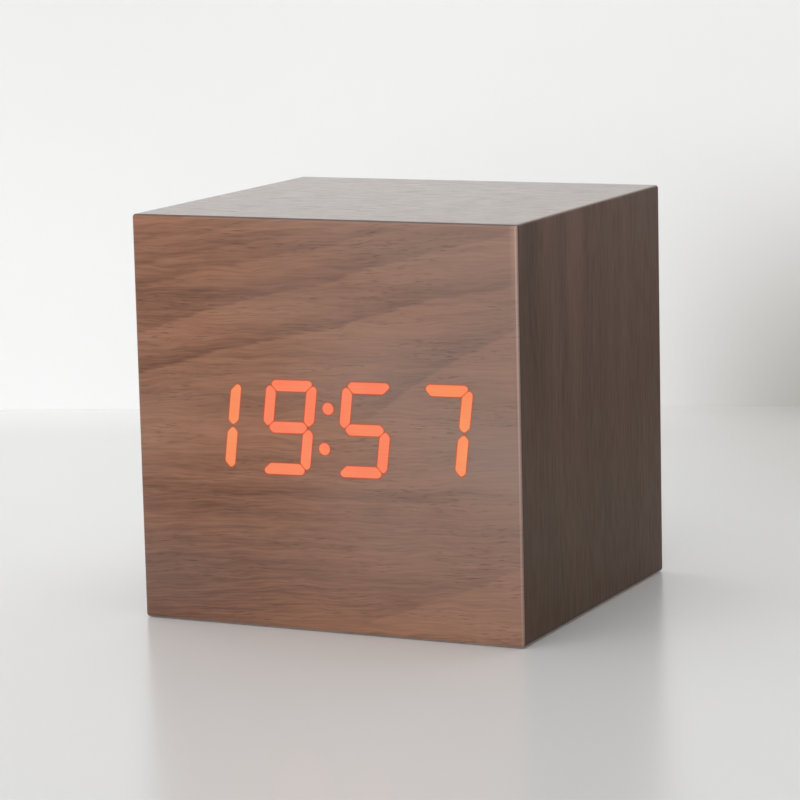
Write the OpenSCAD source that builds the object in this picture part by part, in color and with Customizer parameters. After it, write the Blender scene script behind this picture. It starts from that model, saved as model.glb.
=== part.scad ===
// Digital desk clock: a veneered wooden cube with an LED display hidden behind the front veneer.
// Millimetres. +Z is up, the front looks along -Y, and the origin is the middle of the underside.

/* [Case] */
// Width of the case over its veneer
case_w = 68; // [61.5:0.5:95]
// Height of the case over its veneer
case_h = 67; // [61:0.5:95]
// Depth of the case over its veneer
case_d = 61.5; // [48:0.5:120]
// Thickness of the wood veneer
veneer_t = 0.6; // [0.4:0.05:1]
// Thickness of the boards under the veneer
board_t = 3; // [2.5:0.25:4.25]
// Radius of the eased outer edges
edge_r = 0.55; // [0.2:0.05:1]
// Side of the glued corner blocks
block_s = 5.6; // [5:0.1:6.5]
// Length of the glued corner blocks
block_l = 10; // [8:0.5:16]

/* [Display] */
// Height of a lit digit
digit_h = 15.6; // [10:0.1:20]
// Width of a lit digit, before its slant
digit_w = 9.3; // [6:0.1:10.5]
// Spacing of the digits
digit_pitch = 13.7; // [11.5:0.1:15.5]
// Slant of the digits in degrees
digit_slant = 7.5; // [0:0.5:10]
// Width of a segment
seg_t = 2.05; // [1.2:0.05:2.4]
// Gap between neighbouring segments
seg_gap = 0.3; // [0.2:0.02:0.5]
// Bevel on the outer corners of a digit
seg_bevel = 1.5; // [0.3:0.05:1.8]
// Share of a segment's outline left at the back of its cup
cup_taper = 0.62; // [0.5:0.02:0.9]
// Diameter of a colon dot
dot_d = 2; // [1.2:0.1:2.4]
// Distance between the colon dots
dot_spread = 6.8; // [5:0.1:8]
// Depth of the segment mask
mask_d = 6; // [4.5:0.1:9]
// Rim of the segment mask beside the digits
mask_rim_x = 1.6; // [1.5:0.05:4]
// Rim of the segment mask above and below the digits
mask_rim_z = 2.4; // [1.6:0.1:5]
// Distance of the digits below the middle of the front
display_drop = 0.3; // [0:0.05:1]
// Thickness of the diffuser film
film_t = 0.2; // [0.1:0.05:0.4]

/* [Rear cover] */
// Depth of the cover's face inside the back edge
cover_recess = 1; // [0.8:0.1:2]
// Thickness of the rear cover
cover_t = 2.2; // [1.8:0.1:4]
// Clearance round the rear cover
cover_gap = 0.2; // [0.1:0.05:0.3]
// Height of the control strip under the battery bay
strip_h = 11.6; // [9.2:0.1:16]
// Wall of the battery bay
bay_wall = 1.2; // [1:0.1:2]
// Thickness of the battery door
door_t = 1.6; // [1.3:0.1:2]
// Clearance round the battery door
door_gap = 0.2; // [0.15:0.05:0.3]
// Radius of the door's hinge barrel
hinge_r = 1.2; // [1.1:0.05:1.4]
// Radius of the door's hinge pins
pin_r = 0.7; // [0.5:0.05:0.8]
// Length of the door's hinge pins
pin_l = 1; // [0.7:0.1:1.4]
// Radius of a button's cap
button_r = 2; // [1.4:0.1:2.4]
// Height of a button's cap above the cover
button_proud = 0.7; // [0.5:0.1:0.8]
// Travel of a button
button_travel = 0.4; // [0.2:0.05:0.5]
// Spacing of the buttons
button_pitch = 6; // [5.6:0.1:6.6]

/* [Cells] */
// Diameter of a cell
cell_d = 10.5; // [9:0.1:14.5]
// Length of a cell with its contact stud
cell_l = 44.5; // [38:0.1:50.5]
// Length of a contact spring under load
spring_l = 3; // [2.3:0.1:5]
// Turns of a contact spring
spring_turns = 3; // [2:0.5:3]
// Wire of a contact spring
spring_wire = 0.4; // [0.3:0.05:0.6]
// Thickness of the contact plates
plate_t = 0.4; // [0.3:0.05:0.5]

/* [Circuit boards] */
// Thickness of the circuit boards
pcb_t = 1.6; // [1:0.1:2]
// Width of the control board
control_w = 42; // [38:0.1:48]
// Side of a push switch
switch_s = 5.2; // [4:0.1:6]
// Height of a push switch's body
switch_h = 3.5; // [3:0.1:6]
// Width of the power socket's shell
usb_w = 7.5; // [6.5:0.1:9]
// Height of the power socket's shell
usb_h = 2.6; // [2.4:0.1:3]
// Sheet of the power socket's shell
usb_sheet = 0.3; // [0.2:0.05:0.4]
// Diameter of the microphone capsule
mic_d = 3; // [2.4:0.1:4]
// Diameter of the alarm sounder
sounder_d = 7.5; // [5:0.1:8.5]
// Width of the ribbon cable
ribbon_w = 12.7; // [6:0.1:14]
// Thickness of the ribbon cable
ribbon_t = 0.9; // [0.6:0.1:1.2]

/* [Fasteners] */
// Shank diameter of the screws
shank_d = 2; // [1.6:0.1:2.4]
// Head diameter of the cover screws
head_d = 4.2; // [3.4:0.1:4.6]
// Head height of the screws
head_h = 1; // [0.8:0.1:1.2]
// Length of a cover screw's shank
cover_screw_l = 8; // [6:0.5:9]
// Outer diameter of a display spacer
spacer_d = 4.4; // [3.6:0.1:6]

/* [Hidden] */
$fn = 48;

// Cuts run past the faces that they open by this much
past = 1;
// Radial room round a pin or shaft that turns or slides
run_fit = 0.08;
// Radial room round a screw in its pilot bore
pilot_fit = 0.05;
// Radial room round a screw in a clearance hole
hole_fit = 0.2;

// Battery bay: cells lie head to tail between contact plates and springs
contact_gap = 0.05;
pip_h = 0.5;
pip_d = 2.6;
cell_gap = 0.5;
cell_room = 0.2;
door_cell_gap = 0.4;
cell_step = cell_d + cell_gap;
bay_w = cell_l + spring_l + 2 * plate_t + pip_h + 2 * contact_gap;
bay_h = 3 * cell_step;
rib_t = 0.8;
rib_h = 1.8;

// Inside of the case
wall_t = veneer_t + board_t;
inner_w = case_w - 2 * wall_t;
inner_low = wall_t;
inner_high = case_h - wall_t;
ease = min(edge_r, veneer_t);

// Planes of the case along its depth
front_y = -case_d / 2;
back_y = case_d / 2;
panel_y = front_y + veneer_t;
sleeve_y = panel_y + board_t;
sleeve_end_y = back_y - veneer_t;

// Display stack from the veneer backwards
display_z = case_h / 2 - display_drop;
mask_w = 3 * digit_pitch + digit_w + 2 * mask_rim_x;
mask_h = digit_h + 2 * mask_rim_z;
mask_fit = 0.15;
window_w = mask_w + 2 * mask_fit;
window_h = mask_h + 2 * mask_fit;
spacer_margin = 0.5;
fix_inset = 5;
display_fix_x = mask_w / 2 - fix_inset;
display_fix_z = window_h / 2 + spacer_d / 2 + spacer_margin;
pcb_margin = 0.3;
display_pcb_w = mask_w;
display_pcb_h = 2 * (display_fix_z + spacer_d / 2 + pcb_margin);
film_y = panel_y;
mask_y = film_y + film_t;
display_pcb_y = mask_y + mask_d;
display_back_y = display_pcb_y + pcb_t;
pilot_depth = 2.4;
pilot_spare = 0.2;
lens_fit = 0.02;
chip_w = 0.6;
chip_t = 0.35;
chip_gap = 0.1;
display_head_d = 3.6;
driver_size = [10, 1.7, 6];
driver_x = -4;
driver_rise = 3;
capacitor_d = 5;
capacitor_l = 9;
capacitor_x = 15;
capacitor_rise = 4;
capacitor_bead = 0.25;

// Rear cover
cover_y1 = back_y - cover_recess;
cover_y0 = cover_y1 - cover_t;
cover_w = inner_w - 2 * cover_gap;
cover_low = inner_low + cover_gap;
cover_high = inner_high - cover_gap;
cover_corner_r = 1;
screw_edge = 0.2;
screw_inset = block_s / 2 + screw_edge;
head_fit = 0.3;
head_sink = 0.2;
screw_x = inner_w / 2 - screw_inset;
screw_zs = [inner_low + screw_inset, inner_high - screw_inset];
bay_low = cover_low + strip_h + bay_wall;
bay_high = bay_low + bay_h;
door_y0 = cover_y1 - door_t;
cell_y = door_y0 - door_cell_gap - cell_d / 2;
bay_floor_y = cell_y - cell_d / 2 - cell_room;
bay_back_y = bay_floor_y - bay_wall;

// Battery door
hinge_gap = 0.3;
hinge_y = cover_y1 - hinge_r;
hinge_z = bay_high - hinge_gap - hinge_r;
door_w = bay_w - 2 * door_gap;
door_low = bay_low + door_gap;
socket_end_gap = 0.15;
socket_depth = pin_l - door_gap + socket_end_gap;
finger_w = 11;
grip_inset = 1;
finger_l = 8;
finger_slot = 0.7;
grip_count = 3;
grip_step = 1.4;
grip_w = 0.6;
grip_depth = 0.35;
nib_h = 0.12;
nib_d = 0.7;

// Control board behind the strip
strip_z = cover_low + strip_h / 2;
flange_t = 1;
flange_gap = 0.1;
flange_lip = 0.6;
plunger_out = 1.6;
plunger_r = 1.2;
plunger_in = 1.1;
switch_floor_gap = 0.3;
control_y1 = cover_y0 - flange_gap - flange_t - plunger_out - switch_h;
control_y0 = control_y1 - pcb_t;
control_edge = 0.5;
control_h = strip_h - 2 * control_edge;
pillar_d = 4.2;
pillar_x = control_w / 2 - pillar_d / 2;
board_shank_d = 1.6;
board_head_d = 3.4;
board_screw_l = 5;
board_pilot_spare = 0.4;

// Controls along the strip, with equal gaps between the pillars: socket, microphone, row of switches
mic_hole_d = 1.2;
mic_t = 1.5;
mic_back = 0.5;
boot_wall = 0.7;
boot_d = mic_d + 2 * (boot_wall + pilot_fit);
strip_left = -pillar_x + pillar_d / 2;
strip_step = (-2 * strip_left - usb_w - boot_d - 2 * button_pitch - switch_s) / 4;
usb_x = strip_left + strip_step + usb_w / 2;
mic_x = usb_x + usb_w / 2 + strip_step + boot_d / 2;
button_x0 = mic_x + boot_d / 2 + strip_step + switch_s / 2;
button_xs = [for (i = [0:2]) button_x0 + i * button_pitch];
dish_lip = 0.7;
dish_depth = 0.4;
cap_bevel = 0.3;
cap_dish_r = 7;
cap_dish_depth = 0.2;
usb_back = 0.8;
usb_window_gap = 0.35;
usb_pocket_lip = 1.2;
usb_pocket_depth = 0.8;
usb_corner = 0.7;
usb_base_l = 1.6;
usb_tongue_w = 4;
usb_tongue_t = 0.6;
usb_fit = 0.05;

// Pieces on the inner side of the control board
plug_lip = 1;
plug_size = [ribbon_w + 2 * plug_lip, 5, 4.6];
plug_wall = 0.9;
plug_clamp_y = 2.75;
display_plug_lift = 4;
ribbon_steps = 16;
part_gap = 0.5;
sounder_x = (plug_size.x / 2 + pillar_x - board_head_d / 2) / 2;
sounder_h = 4;
sounder_hole_d = 2;
crystal_d = 1.9;
crystal_l = 6;
crystal_x = -plug_size.x / 2 - part_gap - crystal_d / 2;
clock_chip_size = [4.6, 1.5, 6];
chip_x = crystal_x - crystal_d / 2 - part_gap - clock_chip_size.x / 2;

// Contact plates and springs
plate_w = 8;
plate_lift = 0.3;
plate_tab_w = 2;
tab_fit = 0.2;
tab_out = 1;
spring_base_r = 3.3;
spring_tip_r = 2.1;
spring_rings = 8;
spring_sides = 6;
lead_d = 1.2;
lead_sides = 8;
stud_d = 3.8;
stud_l = 1;
cell_bevel = 0.4;
// Routes of the battery leads, from the tab of a contact plate to the control board. X from the
// middle, Y from the back of the bay and Z from the bay's lowest cell.
positive_route = [
    [-24, -1.8, 22], [-23, -2.6, 20], [-18, -2.7, 14], [-12, -2.7, 6],
    [-7, -2.5, -2], [-4.4, -1.7, -6.6], [-4, 0.3, -8], [-4, 3.8, -8.2]
];
negative_route = [
    [24, -1.8, 0], [23, -2.5, -1.6], [18, -2.5, -4.4], [11, -2.3, -6],
    [6, -1.7, -6.8], [4, 0.3, -8], [4, 3.8, -8.2]
];

// Carries a flat outline, drawn in X and Z, along the depth from y0 to y1
module along_y(y0, y1) {
    translate([0, y1, 0]) rotate([90, 0, 0]) linear_extrude(y1 - y0) children();
}

// Carries a flat outline, drawn in Y and Z, along the width from x0 to x1
module along_x(x0, x1) {
    translate([x0, 0, 0]) rotate([90, 0, 90]) linear_extrude(x1 - x0) children();
}

// A round bar along the depth, from y0 to y1
module bar_y(d, y0, y1) {
    translate([0, y0, 0]) rotate([-90, 0, 0]) cylinder(d = d, h = y1 - y0);
}

// A rectangle on the middle of its lower edge
module low_rect(w, h) {
    translate([-w / 2, 0]) square([w, h]);
}

// What an eased corner of radius r takes away, with the arc's centre at the origin
module corner_waste(r) {
    difference() {
        square(r + past);
        circle(r);
    }
}

// A rectangle on the middle of its lower edge, with its upper corners eased
module eased_top(w, h, r) {
    difference() {
        low_rect(w, h);
        for (s = [0, 1]) mirror([s, 0]) translate([w / 2 - r, h - r]) corner_waste(r);
    }
}

// The section of the case across its depth, with all four corners eased
module case_section() {
    difference() {
        eased_top(case_w, case_h, ease);
        translate([0, case_h]) mirror([0, 1])
            for (s = [0, 1]) mirror([s, 0])
                translate([case_w / 2 - ease, case_h - ease]) corner_waste(ease);
    }
}

// A rectangle set in from the section of the case by t on every side
module inset_rect(t) {
    translate([0, t]) low_rect(case_w - 2 * t, case_h - 2 * t);
}

// The quarter of the section that belongs to one wall, cut at the mitres: 0 top, 1 right, 2 bottom, 3 left
module wall_sector(side) {
    flat = side == 0 || side == 2;
    across = flat ? case_w / 2 : case_h / 2;
    out = flat ? case_h / 2 : case_w / 2;
    deep = wall_t + past;
    translate([0, case_h / 2]) rotate(-90 * side)
        polygon([
            [-across - past, out + past], [across + past, out + past],
            [across - deep, out - deep], [-across + deep, out - deep]
        ]);
}

// A face veneer with eased edges, its outer face at y = 0 and its back at y = t
module face_veneer(t) {
    intersection() {
        along_y(0, t) case_section();
        linear_extrude(case_h) translate([0, t]) mirror([0, 1]) eased_top(case_w, t, ease);
        along_x(-case_w / 2, case_w / 2)
            translate([t, case_h / 2]) rotate(90) eased_top(case_h, t, ease);
    }
}

module front_veneer() {
    color("#96695a") translate([0, front_y, 0]) face_veneer(veneer_t);
}

// Veneer of one wall, mitred at the corners and carried from the front veneer to the rear edging
module wall_veneer(side) {
    along_y(panel_y, sleeve_end_y) intersection() {
        difference() {
            case_section();
            inset_rect(veneer_t);
        }
        wall_sector(side);
    }
}

module top_veneer() { color("#8d6a57") wall_veneer(0); }
module right_veneer() { color("#6a5347") wall_veneer(1); }
module bottom_veneer() { color("#7a5a4a") wall_veneer(2); }
module left_veneer() { color("#6a5347") wall_veneer(3); }

// Veneer frame over the board ends at the back, with eased outer edges
module rear_edging() {
    color("#6f5243") difference() {
        translate([0, back_y, 0]) mirror([0, 1, 0]) face_veneer(veneer_t);
        along_y(back_y - veneer_t - past, back_y + past) inset_rect(wall_t);
    }
}

// Board of one wall, mitred at the corners
module wall_board(side) {
    along_y(sleeve_y, sleeve_end_y) intersection() {
        difference() {
            inset_rect(veneer_t);
            inset_rect(wall_t);
        }
        wall_sector(side);
    }
}

module top_board() { color("#b08a5f") wall_board(0); }
module right_board() { color("#b08a5f") wall_board(1); }
module bottom_board() { color("#b08a5f") wall_board(2); }
module left_board() { color("#b08a5f") wall_board(3); }

// Places something at each of the display's four fixings
module at_display_fixings() {
    for (sx = [-1, 1], sz = [-1, 1])
        translate([sx * display_fix_x, 0, display_z + sz * display_fix_z]) children();
}

module front_board() {
    color("#b08a5f") difference() {
        along_y(panel_y, sleeve_y) inset_rect(veneer_t);
        along_y(panel_y - past, sleeve_y + past)
            translate([0, display_z - window_h / 2]) low_rect(window_w, window_h);
        at_display_fixings() bar_y(shank_d + 2 * pilot_fit, sleeve_y - pilot_depth, sleeve_y + past);
    }
}

// Places something at each of the rear cover's four screws
module at_cover_screws() {
    for (sx = [-1, 1], z = screw_zs) translate([sx * screw_x, 0, z]) children();
}

module corner_blocks() {
    color("#c9a878") difference() {
        for (sx = [0, 1], low = [inner_low, inner_high - block_s])
            mirror([sx, 0, 0]) translate([inner_w / 2 - block_s, cover_y0 - block_l, low])
                cube([block_s, block_l, block_s]);
        at_cover_screws()
            bar_y(shank_d + 2 * pilot_fit, cover_y0 - cover_screw_l - pilot_spare, cover_y0 + past);
    }
}

// Corner points and half points of a digit on the centre lines of its segments
half_w = (digit_w - seg_t) / 2;
half_h = (digit_h - seg_t) / 2;
// One row for each segment a to g: start, direction, outward side, length, and whether each end is
// an outer corner (1) or a point between two segments (0)
segments = [
    [[-half_w, half_h], [1, 0], [0, 1], 2 * half_w, 1, 1],
    [[half_w, half_h], [0, -1], [1, 0], half_h, 1, 0],
    [[half_w, -half_h], [0, 1], [1, 0], half_h, 1, 0],
    [[-half_w, -half_h], [1, 0], [0, -1], 2 * half_w, 1, 1],
    [[-half_w, -half_h], [0, 1], [-1, 0], half_h, 1, 0],
    [[-half_w, half_h], [0, -1], [-1, 0], half_h, 1, 0],
    [[-half_w, 0], [1, 0], [0, 1], 2 * half_w, 0, 0]
];

// Outline of one end of a segment, along and across it: a bevelled mitre or a point
function seg_end(corner) = corner == 1
    ? [[seg_t / 2, -seg_t / 2], [(seg_bevel - seg_t) / 2, (seg_t - seg_bevel) / 2],
       [seg_bevel - seg_t / 2, seg_t / 2]]
    : [[seg_t / 2, -seg_t / 2], [0, 0], [seg_t / 2, seg_t / 2]];

// Outline of a segment along its length, drawn in at both ends by half of the gap's slant length
function seg_outline(row) =
    let (pull = seg_gap / sqrt(2), near = seg_end(row[4]), far = seg_end(row[5]))
    concat(
        [for (p = near) [p.x + pull, p.y]],
        [for (i = [2:-1:0]) [row[3] - pull - far[i].x, far[i].y]]
    );

// Leans a point of a digit by the digits' slant
function leaned(p) = [p.x + p.y * tan(digit_slant), p.y];

// Middle and outline of a segment on the digit
function seg_middle(row) = leaned(row[0] + row[1] * row[3] / 2);
function seg_points(row) =
    [for (p = seg_outline(row)) leaned(row[0] + row[1] * p.x + row[2] * p.y)];

// Places something at each of the four digits
module at_digits() {
    for (i = [0:3]) translate([(i - 1.5) * digit_pitch, 0, display_z]) children();
}

// Places something at each colon dot, which leans with the digits
module at_dots() {
    for (s = [-1, 1]) {
        at = leaned([0, s * dot_spread / 2]);
        translate([at.x, 0, display_z + at.y]) children();
    }
}

// A tapered cup behind one segment, from the back at y1 to the front at y0, smaller all round by fit
module seg_cup(row, y0, y1, fit) {
    middle = seg_middle(row);
    span = mask_d;
    back_share = cup_taper + (1 - cup_taper) * (display_pcb_y - y1) / span;
    front_share = cup_taper + (1 - cup_taper) * (display_pcb_y - y0) / span;
    slim = 1 - 2 * fit / seg_t;
    translate([middle.x, y1, middle.y]) rotate([90, 0, 0])
        linear_extrude(y1 - y0, scale = front_share / back_share)
            polygon([for (p = seg_points(row)) (p - middle) * back_share * slim]);
}

// A tapered cup behind one colon dot
module dot_cup(y0, y1, fit) {
    back_share = cup_taper + (1 - cup_taper) * (display_pcb_y - y1) / mask_d;
    front_share = cup_taper + (1 - cup_taper) * (display_pcb_y - y0) / mask_d;
    translate([0, y1, 0]) rotate([90, 0, 0])
        cylinder(d1 = dot_d * back_share - 2 * fit, d2 = dot_d * front_share - 2 * fit, h = y1 - y0);
}

module diffuser_film() {
    color("#e8e4dc") along_y(film_y, mask_y)
        translate([0, display_z - mask_h / 2]) low_rect(mask_w, mask_h);
}

module segment_mask() {
    color("#2b2b2d") difference() {
        along_y(mask_y, display_pcb_y)
            translate([0, display_z - mask_h / 2]) low_rect(mask_w, mask_h);
        at_digits() for (row = segments) seg_cup(row, mask_y - past, display_pcb_y + past, 0);
        at_dots() dot_cup(mask_y - past, display_pcb_y + past, 0);
    }
}

lens_back_y = display_pcb_y - chip_t - chip_gap;

module segment_lenses() {
    color("#ff8a62") at_digits()
        for (row = segments) seg_cup(row, mask_y, lens_back_y, lens_fit);
}

module colon_lenses() {
    color("#ff8a62") at_dots() dot_cup(mask_y, lens_back_y, lens_fit);
}

module led_chips() {
    color("#f2e6b0") {
        at_digits() for (row = segments) {
            middle = seg_middle(row);
            translate([middle.x - chip_w / 2, display_pcb_y - chip_t, middle.y - chip_w / 2])
                cube([chip_w, chip_t, chip_w]);
        }
        at_dots() translate([-chip_w / 2, display_pcb_y - chip_t, -chip_w / 2])
            cube([chip_w, chip_t, chip_w]);
    }
}

module display_board() {
    color("#2f6b3c") difference() {
        along_y(display_pcb_y, display_back_y)
            translate([0, display_z - display_pcb_h / 2]) low_rect(display_pcb_w, display_pcb_h);
        at_display_fixings()
            bar_y(shank_d + 2 * hole_fit, display_pcb_y - past, display_back_y + past);
    }
}

module display_spacers() {
    color("#d8d6d0") at_display_fixings() difference() {
        bar_y(spacer_d, sleeve_y, display_pcb_y);
        bar_y(shank_d + 2 * hole_fit, sleeve_y - past, display_pcb_y + past);
    }
}

// A pan-head screw pointing along -Y, with the underside of its head at y = 0 and a cross in the head
module pan_screw(head, high, shank, length) {
    cross_l = head * 0.6;
    cross_w = head * 0.13;
    difference() {
        union() {
            rotate([90, 0, 0]) rotate_extrude() polygon([
                [0, -high], [head / 2 - high / 2, -high], [head / 2, -high / 2], [head / 2, 0],
                [shank / 2, 0], [shank / 2, length - shank / 2], [shank / 8, length], [0, length]
            ]);
        }
        for (turn = [0, 90]) rotate([0, turn, 0])
            translate([-cross_l / 2, high * 0.5, -cross_w / 2]) cube([cross_l, high, cross_w]);
    }
}

module display_screws() {
    color("#b9b4a6") at_display_fixings() translate([0, display_back_y, 0])
        pan_screw(display_head_d, head_h, shank_d, display_back_y - sleeve_y + pilot_depth - pilot_spare);
}

module driver_chip() {
    color("#26262a") translate([driver_x - driver_size.x / 2, display_back_y, display_z + driver_rise])
        cube(driver_size);
}

module smoothing_capacitor() {
    color("#2d3c66") translate([capacitor_x, display_back_y, display_z + capacitor_rise])
        rotate([-90, 0, 0]) rotate_extrude() polygon([
            [0, 0], [capacitor_d / 2, 0], [capacitor_d / 2, 3 * capacitor_bead],
            [capacitor_d / 2 - capacitor_bead, 4 * capacitor_bead], [capacitor_d / 2, 5 * capacitor_bead],
            [capacitor_d / 2, capacitor_l - capacitor_bead], [capacitor_d / 2 - capacitor_bead, capacitor_l],
            [0, capacitor_l]
        ]);
}

// A rectangle on its middle with rounded corners
module round_rect(w, h, r) {
    difference() {
        square([w, h], center = true);
        for (sx = [0, 1], sz = [0, 1]) mirror([sx, 0]) mirror([0, sz])
            translate([w / 2 - r, h / 2 - r]) corner_waste(r);
    }
}

// The power socket's outline: a rectangle with its two lower corners cut off, smaller all round by t
module usb_outline(t) {
    w = usb_w / 2 - t;
    h = usb_h / 2 - t;
    polygon([[-w, h], [w, h], [w, -h + usb_corner], [w - usb_corner, -h], [usb_corner - w, -h],
             [-w, -h + usb_corner]]);
}

// Places something in the middle of the control strip at a given x
module on_strip(x) {
    translate([x, 0, strip_z]) children();
}

// Plate of the rear cover with its openings
module cover_plate() {
    difference() {
        along_y(cover_y0, cover_y1) translate([0, (cover_low + cover_high) / 2])
            round_rect(cover_w, cover_high - cover_low, cover_corner_r);
        along_y(cover_y0 - past, cover_y1 + past) translate([0, bay_low]) low_rect(bay_w, bay_h);
        at_cover_screws() {
            bar_y(shank_d + 2 * hole_fit, cover_y0 - past, cover_y1 + past);
            bar_y(head_d + 2 * head_fit, cover_y1 - head_h - head_sink, cover_y1 + past);
        }
        for (x = button_xs) on_strip(x) {
            bar_y(2 * (button_r + run_fit), cover_y0 - past, cover_y1 + past);
            bar_y(2 * (button_r + dish_lip), cover_y1 - dish_depth, cover_y1 + past);
        }
        on_strip(mic_x) bar_y(mic_hole_d, cover_y0 - past, cover_y1 + past);
        on_strip(usb_x) {
            along_y(cover_y0 - past, cover_y1 + past) usb_outline(-usb_window_gap);
            along_y(cover_y1 - usb_pocket_depth, cover_y1 + past)
                round_rect(usb_w + 2 * usb_pocket_lip, usb_h + 2 * usb_pocket_lip, cover_corner_r);
        }
        for (s = [0, 1]) mirror([s, 0, 0]) translate([bay_w / 2 - past, hinge_y, hinge_z])
            rotate([0, 90, 0]) cylinder(r = pin_r + run_fit, h = past + socket_depth);
    }
}

// Slots in the bay's floor for the solder tabs of the two end plates
module tab_slots() {
    for (tab = [[-1, 2], [1, 0]])
        translate([tab[0] * (bay_w - plate_t) / 2, 0, cell_z(tab[1])])
            translate([-plate_t / 2 - tab_fit, bay_back_y - past, -plate_tab_w / 2 - tab_fit])
                cube([plate_t + 2 * tab_fit, bay_wall + 2 * past, plate_tab_w + 2 * tab_fit]);
}

// The battery bay behind the plate: a tray with ribs between the cells
module bay_tray() {
    difference() {
        along_y(bay_back_y, cover_y0) translate([0, bay_low - bay_wall])
            low_rect(bay_w + 2 * bay_wall, bay_h + 2 * bay_wall);
        along_y(bay_floor_y, cover_y0 + past) translate([0, bay_low]) low_rect(bay_w, bay_h);
        tab_slots();
    }
    for (i = [1, 2]) translate([-cell_l / 4, bay_floor_y, bay_low + i * cell_step - rib_t / 2])
        cube([cell_l / 2, rib_h, rib_t]);
}

module rear_cover() {
    color("#1c1c1e") {
        cover_plate();
        bay_tray();
        for (s = [-1, 1]) on_strip(s * pillar_x) difference() {
            bar_y(pillar_d, control_y1, cover_y0);
            bar_y(board_shank_d + 2 * pilot_fit, control_y1 - past,
                  control_y0 + board_screw_l + board_pilot_spare);
        }
    }
}

module cover_screws() {
    color("#8d8a84") at_cover_screws() translate([0, cover_y1 - head_h - head_sink, 0])
        pan_screw(head_d, head_h, shank_d, cover_t - head_h - head_sink + cover_screw_l);
}

// Section of the battery door across its width: a plate hanging from the hinge barrel
module door_section() {
    union() {
        translate([door_y0, door_low]) square([door_t, hinge_z - door_low]);
        translate([hinge_y, hinge_z]) circle(hinge_r);
    }
}

module battery_door() {
    color("#1f1f21") {
        difference() {
            along_x(-door_w / 2, door_w / 2) door_section();
            for (s = [-1, 1]) translate([s * (finger_w + finger_slot) / 2 - finger_slot / 2,
                                         door_y0 - past, door_low - past])
                cube([finger_slot, door_t + 2 * past, finger_l + past]);
            for (i = [1:grip_count]) translate([-finger_w / 2 + grip_inset, cover_y1 - grip_depth,
                                                door_low + i * grip_step])
                cube([finger_w - 2 * grip_inset, grip_depth + past, grip_w]);
        }
        translate([-finger_w / 2 + grip_inset, door_y0, door_low - nib_h])
            cube([finger_w - 2 * grip_inset, nib_d, nib_h]);
        for (s = [0, 1]) mirror([s, 0, 0]) translate([door_w / 2, hinge_y, hinge_z])
            rotate([0, 90, 0]) cylinder(r = pin_r, h = pin_l);
    }
}

// A round push button: flange behind the cover, cap through it, and a shallow dish for the finger
module push_button() {
    high = flange_t + flange_gap + cover_t + button_proud;
    translate([0, cover_y0 - flange_gap - flange_t, 0]) rotate([-90, 0, 0]) difference() {
        rotate_extrude() polygon([
            [0, 0], [button_r + flange_lip, 0], [button_r + flange_lip, flange_t], [button_r, flange_t],
            [button_r, high - cap_bevel], [button_r - cap_bevel, high], [0, high]
        ]);
        translate([0, 0, high - cap_dish_depth + cap_dish_r]) sphere(cap_dish_r);
    }
}

module down_button() { color("#3a3a3d") on_strip(button_xs[0]) push_button(); }
module up_button() { color("#3a3a3d") on_strip(button_xs[1]) push_button(); }
module set_button() { color("#3a3a3d") on_strip(button_xs[2]) push_button(); }

plunger_top_y = cover_y0 - flange_gap - flange_t;
switch_top_y = control_y1 + switch_h;
plunger_low_y = switch_top_y - plunger_in;

module switch_plunger() {
    bar_y(2 * plunger_r, plunger_low_y, plunger_top_y);
}

module down_plunger() { color("#d9d4c4") on_strip(button_xs[0]) switch_plunger(); }
module up_plunger() { color("#d9d4c4") on_strip(button_xs[1]) switch_plunger(); }
module set_plunger() { color("#d9d4c4") on_strip(button_xs[2]) switch_plunger(); }

module switch_bodies() {
    bore_low_y = plunger_low_y - button_travel - switch_floor_gap;
    color("#2a2a2c") for (x = button_xs) on_strip(x) difference() {
        along_y(control_y1, switch_top_y) square(switch_s, center = true);
        bar_y(2 * (plunger_r + run_fit), bore_low_y, switch_top_y + past);
    }
}

module control_board() {
    color("#2f6b3c") difference() {
        along_y(control_y0, control_y1) translate([0, strip_z]) square([control_w, control_h], center = true);
        for (s = [-1, 1]) on_strip(s * pillar_x)
            bar_y(board_shank_d + 2 * hole_fit, control_y0 - past, control_y1 + past);
    }
}

module board_screws() {
    color("#b9b4a6") for (s = [-1, 1]) on_strip(s * pillar_x) translate([0, control_y0, 0])
        rotate([0, 0, 180]) pan_screw(board_head_d, head_h, board_shank_d, board_screw_l);
}

usb_front_y = cover_y1 - usb_back;

module usb_shell() {
    color("#c4c4c6") on_strip(usb_x) along_y(control_y1, usb_front_y) difference() {
        usb_outline(0);
        usb_outline(usb_sheet);
    }
}

module usb_tongue() {
    color("#18181a") on_strip(usb_x) {
        along_y(control_y1, control_y1 + usb_base_l) usb_outline(usb_sheet + usb_fit);
        along_y(control_y1 + usb_base_l, usb_front_y - usb_sheet) translate([0, usb_tongue_t / 2])
            square([usb_tongue_w, usb_tongue_t], center = true);
    }
}

mic_front_y = cover_y0 - mic_back;

module microphone() {
    color("#b8b8ba") on_strip(mic_x) {
        bar_y(mic_d, mic_front_y - mic_t, mic_front_y);
        for (s = [-1, 1]) translate([s * mic_d / 5, 0, 0])
            bar_y(mic_d / 7, control_y1, mic_front_y - mic_t);
    }
}

module microphone_boot() {
    color("#27272a") on_strip(mic_x) difference() {
        bar_y(boot_d, control_y1, cover_y0);
        bar_y(mic_d + 2 * pilot_fit, control_y1 - past, mic_front_y);
        bar_y(mic_hole_d, mic_front_y - past, cover_y0 + past);
    }
}

module sounder() {
    color("#222226") on_strip(sounder_x) difference() {
        bar_y(sounder_d, control_y0 - sounder_h, control_y0);
        bar_y(sounder_hole_d, control_y0 - sounder_h - past, control_y0 - sounder_h / 2);
    }
}

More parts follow.
